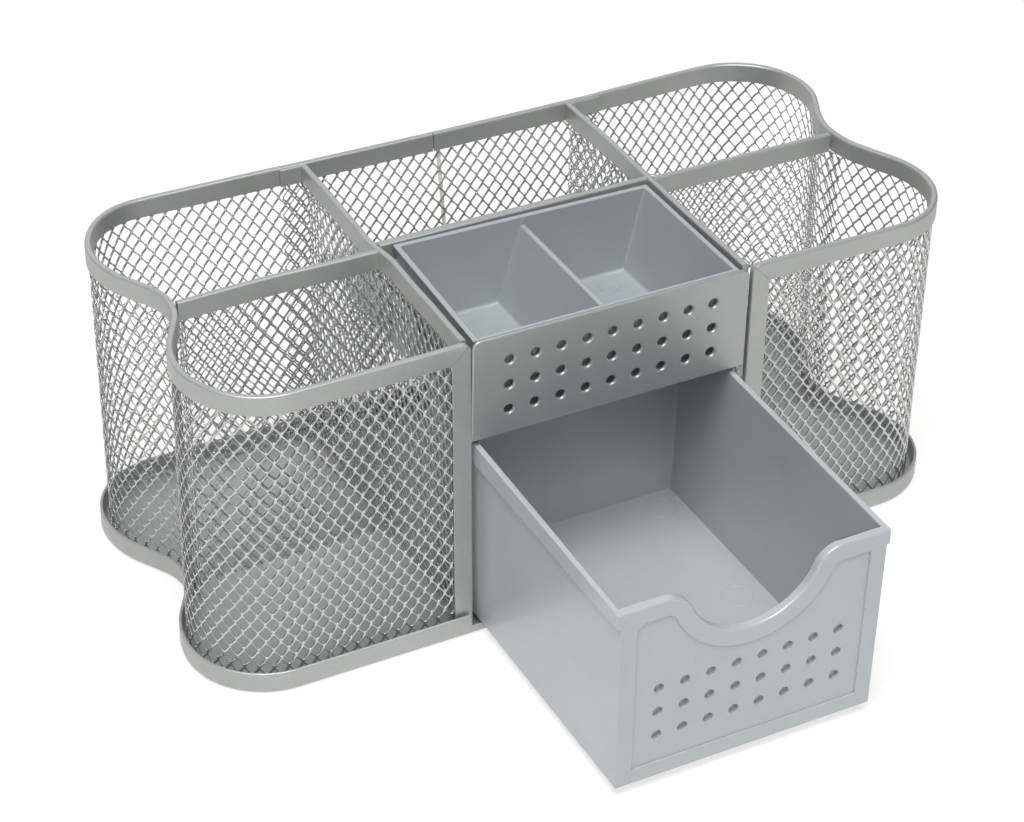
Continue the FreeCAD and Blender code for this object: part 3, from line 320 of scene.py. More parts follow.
def silver_paint(name, base, metallic, rough, flake=0.05, coat=0.0, mottle=0.05, peel=0.00002):
    """Satin silver paint: fine metal flake, faint mottling and orange peel."""
    mat, nt, bsdf, vec = nodes_of(name)
    fine = noise(nt, vec, 2600.0, 2.0, 0.7)
    broad = noise(nt, vec, 38.0, 4.0, 0.6, 0.4)
    dark = tuple(c * (1 - mottle) for c in base)
    light = tuple(min(1.0, c * (1 + mottle)) for c in base)
    col = ramp(nt, broad, [(0.30, dark), (0.52, base), (0.72, light)])
    fl = ramp(nt, fine, [(0.32, (1 - flake * 2.2,) * 3), (0.5, (1.0,) * 3), (0.68, (1 + flake,) * 3)])
    col = mixcol(nt, 1.0, col, fl, "MULTIPLY")
    nt.links.new(col, bsdf.inputs["Base Color"])
    bsdf.inputs["Metallic"].default_value = metallic
    r1 = maprange(nt, noise(nt, vec, 90.0, 3.0), 0.3, 0.7, rough - 0.04, rough + 0.06)
    nt.links.new(r1, bsdf.inputs["Roughness"])
    h = noise(nt, vec, 900.0, 2.0, 0.5)
    nt.links.new(bump(nt, h, peel), bsdf.inputs["Normal"])
    bsdf.inputs["Coat Weight"].default_value = coat
    bsdf.inputs["Coat Roughness"].default_value = 0.25
    return mat


def silver_plastic(name, base, rough, grain=0.04, spec=0.5, metallic=0.0, coat=0.0):
    """Moulded silver-grey plastic: pearl pigment, flow marks, fine texture."""
    mat, nt, bsdf, vec = nodes_of(name)
    fine = noise(nt, vec, 3200.0, 2.0, 0.7)
    flow = noise(nt, vec, 22.0, 5.0, 0.6, 1.2)
    col = ramp(nt, flow, [(0.28, tuple(c * 0.955 for c in base)), (0.5, base),
                          (0.74, tuple(c * 1.035 for c in base))])
    fl = ramp(nt, fine, [(0.33, (1 - grain,) * 3), (0.5, (1.0,) * 3), (0.67, (1 + grain * 0.7,) * 3)])
    col = mixcol(nt, 1.0, col, fl, "MULTIPLY")
    nt.links.new(col, bsdf.inputs["Base Color"])
    bsdf.inputs["Metallic"].default_value = metallic
    bsdf.inputs["Specular IOR Level"].default_value = spec
    r1 = maprange(nt, noise(nt, vec, 60.0, 3.0), 0.3, 0.7, rough - 0.04, rough + 0.05)
    nt.links.new(r1, bsdf.inputs["Roughness"])
    h = noise(nt, vec, 1500.0, 3.0, 0.6)
    nt.links.new(bump(nt, h, 0.000012), bsdf.inputs["Normal"])
    bsdf.inputs["Coat Weight"].default_value = coat
    bsdf.inputs["Coat Roughness"].default_value = 0.14
    return mat


M_MESH = silver_paint("mesh_paint", (0.555, 0.562, 0.55), 0.88, 0.21, flake=0.05, mottle=0.05)
M_RIM = silver_paint("rim_paint", (0.415, 0.42, 0.408), 0.50, 0.40, flake=0.03, mottle=0.03)
M_PLATE = silver_paint("plate_paint", (0.39, 0.397, 0.39), 0.55, 0.40, flake=0.02, mottle=0.02)
M_PAN = silver_paint("pan_paint", (0.415, 0.421, 0.411), 0.45, 0.42, flake=0.04, mottle=0.04)
M_STRIP = silver_plastic("strip_plastic", (0.80, 0.74, 0.67), 0.55)
M_DRAWER = silver_plastic("drawer_plastic", (0.425, 0.450, 0.465), 0.36, metallic=0.1, coat=0.35)
M_TRAY = silver_plastic("tray_plastic", (0.325, 0.352, 0.369), 0.38, metallic=0.1, coat=0.3)

# ------------------------------------------------- expanded metal, real strands
PITCH_S, PITCH_Z = 4.241, 6.15
BOND = 0.27          # half length of a bond, where two strands join
HALF_W = 0.27        # half width of a strand, seen square on
HALF_T = 0.20        # half thickness
TWIST = 0.19         # how far a strand's edges stand forward and back


def unit_cell(wide=1.0):
    """Loops round one diamond opening, in mm from its middle: the line along
    the strands' crowns, and the opening's own rounded edge."""
    ax, bz, g = PITCH_S / 2, PITCH_Z / 2, BOND
    L0, L1 = (-ax, -g), (-ax, g)
    R0, R1 = (ax, -g), (ax, g)
    Tp, Bt = (0.0, bz - g), (0.0, -bz + g)

    def lerp(p, q, f):
        return (p[0] + (q[0] - p[0]) * f, p[1] + (q[1] - p[1]) * f)

    f0, f1 = 0.27, 0.73
    S = [L0, L1, lerp(L1, Tp, f0), lerp(L1, Tp, f1), Tp, lerp(Tp, R1, f0), lerp(Tp, R1, f1),
         R1, R0, lerp(R0, Bt, f0), lerp(R0, Bt, f1), Bt, lerp(Bt, L0, f0), lerp(Bt, L0, f1)]
    dx, dz = ax, bz - 2 * g
    ln = math.hypot(dx, dz)
    nx, nz = dz / ln, dx / ln
    w = HALF_W * wide
    wb, wt = w + 0.10, 0.58
    D = [(wb, 0.06), (wb, -0.06), (nx * w, -nz * w), (nx * w, -nz * w), (0, -wt),
         (-nx * w, -nz * w), (-nx * w, -nz * w), (-wb, -0.06), (-wb, 0.06),
         (-nx * w, nz * w), (-nx * w, nz * w), (0, wt), (nx * w, nz * w), (nx * w, nz * w)]
    S, D = np.array(S), np.array(D)
    sig = np.clip(1.3 * D[:, 0] / w, -1, 1)
    return S, D, sig


def expanded(name, path, s0, s1, z0, z1, ps, pz, node, mat, body="organizer", skew=0.0, flip=1.0,
             wave=0.12, seed=0.0, lean=None, wide=1.0,
             meet=(0.0, 0.0)):
    S, D, sig = unit_cell(wide)
    a, b = PITCH_S, PITCH_Z
    j0, j1 = int(math.floor((z0 - pz) / (b / 2))) - 2, int(math.ceil((z1 - pz) / (b / 2))) + 2
    i0, i1 = int(math.floor((s0 - ps) / a)) - 2, int(math.ceil((s1 - ps) / a)) + 2
    J, I = np.meshgrid(np.arange(j0, j1 + 1), np.arange(i0, i1 + 1), indexing="ij")
    cs = (ps + (I + 0.5 + 0.5 * (J % 2)) * a).ravel()
    cz = (pz + J * b / 2).ravel()
    ok = (cs > s0 - a) & (cs < s1 + a) & (cz > z0 - b) & (cz < z1 + b)
    cs, cz = cs[ok], cz[ok]
    h, k = HALF_T, TWIST * flip
    loops = [(0.0, h, 0.0), (0.62, 0.90 * h, 0.62), (1.0, 0.0, 1.0), (0.62, -0.90 * h, 0.62), (0.0, -h, 0.0)]
    m = len(S)
    rows = []
    for f, hh, kk in loops:
        x = cs[:, None] + S[None, :, 0] + D[None, :, 0] * f
        z = cz[:, None] + S[None, :, 1] + D[None, :, 1] * f
        d = np.broadcast_to(hh + k * sig * kk, x.shape)
        rows.append(np.stack([x, z, d], -1))
    V = np.stack(rows, 1)                       # hole, loop, point, xyz
    n = len(cs)
    flat = V.reshape(-1, 3)
    key = np.round(flat, 3)
    uniq, first, inv = np.unique(key, axis=0, return_index=True, return_inverse=True)
    inv = inv.ravel()
    pts = flat[first]
    idx = inv.reshape(n, len(loops), m)
    quads = []
    for q in range(len(loops) - 1):
        A0, A1 = idx[:, q, :], np.roll(idx[:, q, :], -1, 1)
        B0, B1 = idx[:, q + 1, :], np.roll(idx[:, q + 1, :], -1, 1)
        quads.append(np.stack([A0, B0, B1, A1], -1).reshape(-1, 4))
    quads = np.concatenate(quads)
    me = bpy.data.meshes.new(name)
    me.from_pydata(pts.tolist(), [], quads.tolist())
    bm = bmesh.new()
    bm.from_mesh(me)
    for co, no in (((s0, 0, 0), (-1, 0, 0)), ((s1, 0, 0), (1, 0, 0)),
                   ((0, z0, 0), (0, -1, 0)), ((0, z1, 0), (0, 1, 0))):
        geom = bm.verts[:] + bm.edges[:] + bm.faces[:]
        bmesh.ops.bisect_plane(bm, geom=geom, plane_co=co, plane_no=no, clear_outer=True, dist=1e-5)
    bmesh.ops.holes_fill(bm, edges=[e for e in bm.edges if e.is_boundary], sides=0)
    bmesh.ops.recalc_face_normals(bm, faces=bm.faces)
    # coordinates for a bake: the outer side below, the inner side above
    uv = bm.loops.layers.uv.new("OFBake")
    ls, lz = (s1 - s0), (z1 - z0)
    for f in bm.faces:
        side = 0.0 if f.calc_center_median().z > 0 else 0.5
        for lp in f.loops:
            c = lp.vert.co
            lp[uv].uv = (0.004 + 0.992 * (c.x - s0) / ls, side + 0.004 + 0.492 * (c.y - z0) / lz)
    bm.to_mesh(me)
    flips = path.side > 0
    if flips:
        bmesh.ops.reverse_faces(bm, faces=bm.faces)
        bm.to_mesh(me)
    bm.free()
    co = np.zeros(len(me.vertices) * 3)
    me.vertices.foreach_get("co", co)
    co = co.reshape(-1, 3)
    s, z, d = co[:, 0], co[:, 1], co[:, 2]
    # the sheet is a little uneven, and its rows run slightly out of level
    d = d + wave * (np.sin(s / 23.0 + z / 41.0 + seed) * np.sin(z / 30.0 + 0.6) + 0.5 * np.sin(s / 9.0 - z / 17.0 + seed))
    if lean is not None:
        d = d + lean(s) * np.clip(z / 100.0, 0, 1)
    edge = np.clip(np.minimum(z - z0, z1 - z) / 3.0, 0, 1)
    z = z + skew * (s - s0) * edge
    # the rows run into those of the other half at the seam
    near = np.clip(1.0 - (s - s0) / 30.0, 0, 1) ** 2
    z = z + meet[1] * near * edge
    s = s - meet[0] * near
    s = np.clip(s, 0.0, path.total)
    P, T, N = path.at(s)
    out = np.zeros((len(s), 3))
    out[:, 0] = P[:, 0] + N[:, 0] * d
    out[:, 1] = P[:, 1] + N[:, 1] * d
    out[:, 2] = z
    me.vertices.foreach_set("co", (out * MM).ravel())
    me.update()
    return finish_mesh(name, me, mat, body, True, (node,))


FLOOR_Z, MESH_TOP = 0.7, 95.0
WALL = dict(hw=119.5, hd=54.2, r1=22.6, r2=28.8, r3=19.2)
X_POST = {1: (45.9, 51.8), -1: (43.6, 49.4)}     # edges of the front posts


def knots(points):
    """Smooth curve through measured offsets, in mm."""
    xs, ys = np.array([p[0] for p in points], float), np.array([p[1] for p in points], float)

    def f(s):
        s = np.asarray(s, float)
        acc, tot = 0.0, 0.0
        for o in np.linspace(-5.0, 5.0, 11):
            w = math.exp(-(o / 3.0) ** 2)
            acc = acc + w * np.interp(s + o, xs, ys)
            tot += w
        return acc / tot
    return f


# the hand-bent walls stand a little off the regular outline at the top
BULGE = {
    -1: knots([(0, 0.2), (20, 0.55), (44, 0.95), (56, 1.45), (74, 1.75), (92, 1.95), (98, 1.95), (104, 1.7),
               (110, 1.2), (116, 0.5), (122, 0.25), (134, 0.0), (150, 0.0), (160, 0.3), (168, 0.6),
               (176, 0.4), (184, 0.1), (200, -0.4), (208, -0.6), (216, -0.1), (224, 0.6), (232, 0.95),
               (248, 1.0), (256, 0.9), (272, 0.65), (284, 0.3), (300, 0.3)]),
    1: knots([(0, 0.2), (44, 0.25), (56, 0.3), (62, 0.75), (74, 1.1), (86, 1.5), (92, 1.7), (98, 1.6),
              (104, 0.8), (110, 0.2), (116, -0.3), (122, -0.85), (128, -1.4), (134, -1.6), (140, -1.9),
              (146, -2.4), (152, -2.2), (158, -1.0), (164, 0.4), (170, 1.1), (176, 1.0), (182, 0.4),
              (188, 0.0), (200, 0.0), (212, -0.4), (218, -0.4), (224, -0.3), (232, -0.2), (240, -0.1),
              (300, -0.05)])}
left_wall = outline(-1, x0=1.8, x1=44.2, **WALL)
right_wall = outline(1, x0=-1.8, x1=46.5, **WALL)

cut_l = left_wall.ends[4] + left_wall.len[4] / 2
cut_r = right_wall.ends[4] + right_wall.len[4] / 2
expanded("left_outer_mesh_rear", left_wall, 0.02, cut_l, FLOOR_Z, MESH_TOP, 0.0, 83.5 - 13 * PITCH_Z,
         "left_outer_mesh", M_MESH, skew=0.0, flip=1.0, seed=0.3, lean=BULGE[-1], wide=0.94)
expanded("left_outer_mesh_front", left_wall, cut_l, left_wall.total, FLOOR_Z, MESH_TOP, 0.0,
         83.5 - 13 * PITCH_Z, "left_outer_mesh", M_MESH, flip=1.0, seed=0.3, lean=BULGE[-1], wide=1.28)
expanded("right_outer_mesh_rear", right_wall, 0.62, cut_r, FLOOR_Z, MESH_TOP, 0.6, 83.5 - 13 * PITCH_Z + 1.1,
         "right_outer_mesh", M_MESH, flip=-1.0, seed=1.9, lean=BULGE[1], wide=0.94,
         meet=(0.6, -1.1))
expanded("right_outer_mesh_front", right_wall, cut_r, right_wall.total, FLOOR_Z, MESH_TOP, 0.6,
         83.5 - 13 * PITCH_Z + 1.1, "right_outer_mesh", M_MESH, flip=-1.0, seed=1.9, lean=BULGE[1], wide=1.28)

# the bay sides and dividers bow a little between their ends
REAR = {1: 53.4, -1: 54.1}                        # where the side rims meet the rear rim
TAB_END = {1: 55.6, -1: 52.5}
SIDE_X = 44.7
SIDE_BOW = {1: [(0, -0.2), (7, -0.08), (25, -0.3), (43, -0.2), (55, 0.0), (65, 0.0), (81, 0.3), (98, 0.0), (130, 0.0)],
            -1: [(0, 0.3), (9, 0.25), (20, -0.05), (33, 0.0), (44, -0.45), (48, -0.4), (52, 0.3), (58, 1.1), (61, 1.15),
                 (66, 0.85), (78, 0.6), (91, 0.25), (107, 0.1), (130, 0.1)]}


def side_bow(sg):
    return knots(SIDE_BOW[sg])


sides, dividers = {}, {}
for sg, nm in ((1, "right"), (-1, "left")):
    bow = side_bow(sg)
    p = bent([(sg * SIDE_X, -53.0), (sg * SIDE_X, REAR[sg] - 0.9), (sg * TAB_END[sg], REAR[sg] - 0.9)], 1.5, sg)
    run = p.ends[1]

    def lean(s, bow=bow, run=run):
        # the tab itself stays against the rear wall
        return -bow(s) * np.clip((run - s) / 4.0, 0, 1)

    expanded(nm + "_side_mesh_sheet", p, 0.05, p.total - 0.3, FLOOR_Z, 94.6, 1.3 + sg * 0.7, 2.0 + sg * 0.8,
             nm + "_side_mesh", M_MESH, flip=sg * 1.0, seed=2.5 + sg, lean=lean)
    mid = float(bow(52.0))
    inner = SIDE_X + mid + 0.75
    y = 1.4 if sg > 0 else -0.4
    low = y - 7.5
    p = bent([(sg * inner, low), (sg * inner, y), (sg * 107.5, y), (sg * 107.5, low)], 1.5, -sg)
    dividers[nm] = (inner, y)
    bend = knots([(0, 0.0), (300, 0.0)]) if sg > 0 else knots([(0, 0.25), (11, 0.25), (17, 0.15), (26, 0.3), (38, 0.8), (50, 0.5), (62, 0.0), (69, -0.35), (90, -0.4)])

    def lean(s, bend=bend, tot=p.total):
        return bend(s) * np.clip(np.minimum(s - 8.0, tot - 8.0 - s) / 4.0, 0, 1)

    expanded(nm + "_divider_mesh_sheet", p, 0.3, p.total - 0.3, FLOOR_Z, 94.6, 0.9, 3.4 + sg,
             nm + "_divider_mesh", M_MESH, flip=-sg * 1.0, seed=5.5 + sg, lean=lean)
C_LEFT, C_RIGHT = -(SIDE_X - 1.05 + float(side_bow(-1)(54.0))), SIDE_X - 1.05 + float(side_bow(1)(54.0))
centre = Path([("L", (C_LEFT, 2.6), (C_RIGHT, 2.6))], 1)
expanded("centre_divider_mesh_sheet", centre, 0.05, centre.total - 0.05, 72.0, MESH_TOP, 2.0, 74.6,
         "centre_divider_mesh", M_MESH, flip=1.0, seed=8.0)


# ------------------------------------------------------------- folded rims
RIM_W, RIM_R, RIM_H = 1.0, 0.7, 6.0


def rim_profile(top=100.0):
    w, r, h = RIM_W, RIM_R, RIM_H
    pts = [(w - 0.05, top - h), (w, top - h + 0.1), (w + 0.02, top - h + 1.4), (w + 0.02, top - 2.2)]
    pts += arc_pts(w - r, top - r, r, 0, 90, 6)
    pts += [(0.0, top)]
    pts += arc_pts(-w + r, top - r, r, 90, 180, 6)
    pts += [(-w - 0.02, top - 2.2), (-w - 0.02, top - h + 1.4), (-w, top - h + 0.1), (-w + 0.05, top - h),
            (-w + 0.36, top - h), (-w + 0.42, top - h + 0.12), (-w + 0.42, top - 0.9), (-0.3, top - 0.5),
            (0.3, top - 0.5), (w - 0.42, top - 0.9), (w - 0.42, top - h + 0.12), (w - 0.36, top - h)]
    return pts


def solid_profile(top=100.0):
    w, r, h = RIM_W, RIM_R, RIM_H
    pts = [(w - 0.05, top - h), (w, top - h + 0.1)] + arc_pts(w - r, top - r, r, 0, 90, 6)
    return pts + arc_pts(-w + r, top - r, r, 90, 180, 6) + [(-w, top - h + 0.1), (-w + 0.05, top - h)]


def uneven(amp, ph, lean=None):
    """Hand-folded strip: its lower edge and faces wander a little."""
    def f(s, d, z):
        low = np.clip((97.0 - z) / 3.0, 0, 1)
        dz = low * amp * (np.sin(s / 13.0 + ph) + 0.6 * np.sin(s / 5.3 + 2 * ph)) * 0.6
        dd = np.sign(d) * low * amp * 0.5 * np.sin(s / 9.0 + ph) * (np.abs(d) > 0.75)
        if lean is not None:
            dd = dd + lean(s)
        return dd, dz
    return f


def mitre_cut(me, gap, sg, keep_low):
    """Cuts at the slanted joint between a post and the rim above it."""
    x0, x1 = X_POST[sg]
    bm = bmesh.new()
    bm.from_mesh(me)
    a = Vector((sg * x0, 0, 100.0)) * MM
    n = Vector((sg * RIM_H, 0, x1 - x0)).normalized()      # towards the rim
    co = a + n * gap * MM * (-1 if keep_low else 1)
    no = n if keep_low else -n
    front = [v for v in bm.verts if v.co.y < -0.045 and abs(v.co.x) < 0.062]
    keepv = set(front)
    faces = [f for f in bm.faces if all(v in keepv for v in f.verts)]
    edges = [e for e in bm.edges if all(v in keepv for v in e.verts)]
    bmesh.ops.bisect_plane(bm, geom=front + edges + faces, plane_co=co, plane_no=no, clear_outer=True, dist=1e-7)
    bmesh.ops.holes_fill(bm, edges=[e for e in bm.edges if e.is_boundary], sides=0)
    bmesh.ops.recalc_face_normals(bm, faces=bm.faces)
    bm.to_mesh(me)
    bm.free()


def round_corner(me, sg, r=3.0):
    """Rounds the upper corner beside the drawer bay, in the front view."""
    x0 = X_POST[sg][0]
    cx, cz = sg * (x0 + r), 100.0 - r
    for v in me.vertices:
        x, y, z = (c / MM for c in v.co)
        if y < -45 and sg * (x - cx) < 0 and z > cz:
            dd = math.hypot(x - cx, z - cz)
            if dd > r:
                v.co.x = (cx + (x - cx) / dd * r) * MM
                v.co.z = (cz + (z - cz) / dd * r) * MM


def rim_object(name, node, path, st, profile, wave):
    V, F = sweep(path, profile, st, wave)
    ob = make(name, V, F, M_RIM, replaces=(node,))
    outward(ob.data)
    return ob


for sg, nm, wall in ((1, "right", outline(1, x0=-1.65, x1=X_POST[1][0], **WALL)),
                     (-1, "left", outline(-1, x0=1.95, x1=X_POST[-1][0], **WALL))):
    st = wall.samples(arc=0.8, run=2.0, dense=((wall.total - 9, wall.total, 0.2),))
    ob = rim_object(nm + "_top_rim_strip", nm + "_top_rim", wall, st, rim_profile(),
                    uneven(0.10, 0.7 + sg, BULGE[sg]))
    mitre_cut(ob.data, 0.05, sg, False)
    round_corner(ob.data, sg)
    crease(ob, 40)

    # bay side: straight channel, closed at its front end, and a flap at the rear
    bow = side_bow(sg)
    lean = lambda s, bow=bow: -bow(s)
    p = Path([("L", (sg * SIDE_X, -53.1), (sg * SIDE_X, REAR[sg] - 0.05))], sg)
    node = nm + "_side_rim"
    ob = rim_object(nm + "_side_rim_strip", node, p, p.samples(run=2.0), rim_profile(99.95),
                    uneven(0.08, 1.7 + sg, lean))
    crease(ob, 40)
    ob = rim_object(nm + "_side_rim_end", node, p, np.array([0.02, 0.5]), solid_profile(99.93), uneven(0.0, 0, lean))
    crease(ob, 40)
    y0 = REAR[sg] - 0.05
    x0 = SIDE_X + float(bow(106.0)) + RIM_W - 0.42
    flap = Path([("L", (sg * x0, y0), (sg * TAB_END[sg], y0))], sg)
    top = 99.75
    prof = [(-0.42, top - 5.75), (-0.5, top - 5.6), (-0.5, top - 0.5)]
    prof += arc_pts(0.0, top - 0.5, 0.5, 180, 90, 4) + [(0.0, top - 5.75)]
    ob = rim_object(nm + "_side_rim_flap", node, flap, flap.samples(run=1.0), prof, None)
    crease(ob, 40)

    # compartment divider
    inner, y = dividers[nm]
    node = nm + "_divider_rim"
    x_in = SIDE_X + float(bow(52.0)) + RIM_W + 0.05
    if sg > 0:
        bend = knots([(0, 0.0), (90, 0.0)])
    else:
        bend = knots([(0, 0.25), (3, 0.25), (9, 0.15), (18, 0.3), (30, 0.8), (42, 0.5), (54, 0.0), (61, -0.35), (80, -0.4)])
    p = Path([("L", (sg * x_in, y), (sg * 107.35, y))], -sg)
    ob = rim_object(nm + "_divider_rim_strip", node, p, p.samples(run=1.5), rim_profile(99.87),
                    uneven(0.08, 2.6 + 0.5 * sg, lambda s, sg=sg, bend=bend: -sg * bend(s) * sg))
    crease(ob, 40)
    if sg > 0:
        # the strip turns along the bay side with a soft bend
        xs, yb = SIDE_X + float(bow(55.0)) + RIM_W + 0.03, y + RIM_W + 0.03
        p = bent([(xs - 0.6, yb + 6.0), (xs - 0.6, yb - 0.6), (xs + 7.0, yb - 0.6)], 3.4, 1)
        top, w, r = 99.9, 0.6, 0.5
        prof = [(w - 0.05, top - 5.6), (w, top - 5.5)] + arc_pts(w - r, top - r, r, 0, 90, 5)
        prof += arc_pts(-w + r, top - r, r, 90, 180, 5) + [(-w, top - 5.5), (-w + 0.05, top - 5.6)]
        ob = rim_object(nm + "_divider_rim_bend", node, p, p.samples(arc=0.3, run=1.0), prof, None)
        crease(ob, 40)

ob = rim_object("centre_divider_rim_strip", "centre_divider_rim", centre, centre.samples(run=2.0),
                rim_profile(99.85), uneven(0.06, 0.4))
crease(ob, 40)

# ------------------------------------------------------------- front posts
for sg, nm in ((1, "right"), (-1, "left")):
    x0, x1 = X_POST[sg]
    yc = -54.2 - float(BULGE[sg](286.0))
    y0, y1, g, r = yc - 1.0, yc + 1.0, 0.5, 0.5
    sec = [(x1, y0 + g), (x1, y0 + 0.08), (x1 - 0.08, y0)]
    sec += [(x0 + r - r * math.sin(t), y0 + r - r * math.cos(t)) for t in np.linspace(0, math.pi / 2, 6)]
    sec += [(x0 + r - r * math.cos(t), y1 - r + r * math.sin(t)) for t in np.linspace(0, math.pi / 2, 6)]
    sec += [(x1 - 0.08, y1), (x1, y1 - 0.08), (x1, y1 - g), (x0 + g + 0.2, y1 - g), (x0 + g, y1 - g - 0.2),
            (x0 + g, y0 + g + 0.2), (x0 + g + 0.2, y0 + g)]
    zs = np.concatenate([np.arange(0.7, 90, 4.0), np.arange(90, 100.01, 0.2)])
    m = len(sec)
    drift = {1: 0.0, -1: 1.3}[sg]                 # leans in towards the foot
    V = [(sg * x + drift * (1 - min(z, 94.0) / 94.0), y, z) for z in zs for x, y in sec]
    F = [(i * m + j, i * m + (j + 1) % m, (i + 1) * m + (j + 1) % m, (i + 1) * m + j)
         for i in range(len(zs) - 1) for j in range(m)]
    F += [tuple(range(m)), tuple((len(zs) - 1) * m + j for j in range(m))]
    ob = make(nm + "_front_post_channel", V, F, M_RIM, replaces=(nm + "_front_post",))
    outward(ob.data)
    mitre_cut(ob.data, 0.05, sg, True)
    round_corner(ob.data, sg)
    crease(ob, 40)

# ---------------------------------------------------------------- base pan
PAN = dict(hw=122.3, hd=57.2, r1=24.5, r2=31.0, r3=17.0)
pan_r = outline(1, x0=0.0, x1=0.0, **PAN)
pan_l = outline(-1, x0=0.0, x1=0.0, **PAN)
sr = pan_r.samples(arc=0.9, run=4.0, dense=((pan_r.total - 44.6, pan_r.total - 42.6, 0.12),))
loops = []
for path, flipit in ((pan_r, False), (pan_l, True)):
    P, T, N = path.at(sr)
    if flipit:
        P, N = P[::-1], N[::-1]
    loops.append((P, N))
P = np.concatenate([loops[0][0][:-1], loops[1][0][:-1]])
N = np.concatenate([loops[0][1][:-1], loops[1][1][:-1]])


def pan_top(p):
    """Height of the upturned edge: low between the posts."""
    if p[1] > -50 or abs(p[0]) > 44.2:
        return 7.0
    t = min(1.0, max(0.0, (44.0 - abs(p[0])) / 0.7))
    return 7.0 + (2.8 - 7.0) * (t * t * (3 - 2 * t))


prof = arc_pts(-1.3, 1.3, 1.3, -90, 0, 5)
prof += [(0.0, 0.45), (-0.02, 0.8)]             # filled in below by height
V, F = [], []
n = len(P)
cols = None
for i in range(n):
    top = pan_top(P[i])
    rows = arc_pts(-1.3, 1.3, 1.3, -90, 0, 5)
    mid = (top - 1.3 - 0.45)
    rows += [(-0.01, 1.3 + mid * 0.35), (0.0, 1.3 + mid * 0.8)]
    rows += [(-0.47 + 0.47 * math.cos(t), top - 0.47 + 0.47 * math.sin(t)) for t in np.linspace(0.0, math.pi, 7)]
    rows += [(-0.92, 1.3 + mid * 0.8), (-0.9, 1.9)]
    rows += [(-2.1 + 1.2 * math.cos(t), 1.9 + 1.2 * math.sin(t)) for t in np.linspace(-0.3, -math.pi / 2, 5)]
    cols = len(rows)
    for d, z in rows:
        V.append((P[i][0] + N[i][0] * d, P[i][1] + N[i][1] * d, z))
for i in range(n):
    k = (i + 1) % n
    for j in range(cols - 1):
        F.append((i * cols + j, k * cols + j, k * cols + j + 1, i * cols + j + 1))
F.append(tuple(i * cols for i in range(n)))
F.append(tuple(i * cols + cols - 1 for i in reversed(range(n))))
ob = make("base_pan_pressing", V, F, M_PAN, replaces=("base_pan",))
outward(ob.data)
crease(ob, 50)


# ------------------------------------------------ softened copies of the CAD
def softened(node, name, mat, width_of, body, angle=38.0, segments=3):
    """Copy of a node with its sharp edges rounded. width_of gives the width
    in mm from an edge's middle, its length and whether it stands out."""
    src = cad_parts[node]
    me = src.data.copy()
    bm = bmesh.new()
    bm.from_mesh(me)
    bmesh.ops.remove_doubles(bm, verts=bm.verts, dist=2e-6)
    bmesh.ops.dissolve_limit(bm, angle_limit=math.radians(0.6), verts=bm.verts, edges=bm.edges)
    bmesh.ops.recalc_face_normals(bm, faces=bm.faces)
    bmesh.ops.connect_verts_concave(bm, faces=bm.faces)
    layer = bm.edges.layers.float.new("bevel_weight_edge")
    big = 2.0
    for e in bm.edges:
        if len(e.link_faces) == 2 and e.calc_face_angle(0) > math.radians(angle):
            mid = (e.verts[0].co + e.verts[1].co) / (2 * MM)
            e[layer] = min(1.0, width_of(mid, e.calc_length() / MM, e.is_convex) / big)
    bm.to_mesh(me)
    bm.free()
    ob = finish_mesh(name, me, mat, body, True, (node,))
    b = ob.modifiers.new("bevel", "BEVEL")
    b.width = big * MM
    b.segments = segments
    b.limit_method = "WEIGHT"
    b.use_clamp_overlap = False
    b.loop_slide = False
    b.miter_outer = "MITER_ARC"
    w = ob.modifiers.new("weights", "WEIGHTED_NORMAL")
    w.keep_sharp = False
    w.weight = 70
    return ob


def drawer_width(m, length, convex):
    if m.y < -136.2 and abs(m.x) < 40.9 and m.z > 4.5:
        if m.y > -136.85 or m.z < 43.0 or length > 5.0 and m.z < 57.0:
            return 0.09                              # field, dimples
        # edge of the field against the lip of the scoop
        lip = math.hypot(m.x, m.z - 66.2)
        if lip > 23.5 and m.z < 60.5:
            return 0.09
    if -135.6 < m.y < -134.0 and m.z > 44.0 and convex:
        return 0.3                                   # inner edge of the front wall
    if m.y < -134.0 and m.z > 44.0 and convex:
        return 0.8 if abs(m.x) < 36.0 else 0.45      # lip of the front wall
    if m.z > 60.0 and convex:
        return 0.45
    if m.z < 6.6 and m.z > 6.0 and abs(m.x) < 38.3 and m.y < -30.0 and m.y > -130.0:
        return 0.05                                  # pin marks
    if not convex:
        return 0.35 if m.z > 6.0 and abs(m.x) < 41.0 and m.y > -135.0 and m.y < -27.2 else 0.15
    return 0.4


def rear_line(x):
    """Rear edge of the tray's mouth."""
    return 0.8 - 1.6 * (x + 40.7) / 83.0


def tray_width(m, length, convex):
    if m.z < 74.0 and m.z > 73.2 and math.hypot(m.x - 25.0, m.y + 10.3) < 4.2:
        return 0.05
    if not convex:
        return 1.1 if m.z < 75.0 else 0.15 if abs(m.x) < 9.5 else 0.4
    if m.z > 98.0 and length > 30.0 and m.y > rear_line(m.x) - 0.5:
        return 0.4                                   # outer edge of the rear rim
    if abs(m.x) < 1.7 and m.z > 95.0 and (m.y > -5.5 or m.y < -51.5):
        return 0.06
    if m.z > 98.0 and m.y < -53.0:
        return 0.3                                   # the thinner front wall
    if m.z > 98.0:
        inside = m.y < rear_line(m.x) - 1.0 and -41.7 < m.x < 41.3 and m.y > -54.3
        return 0.45 if inside else 0.95
    return 0.4


softened("drawer", "drawer_moulding", M_DRAWER, drawer_width, "drawer", segments=4)
softened("accessory_tray", "tray_moulding", M_TRAY, tray_width, "tray")

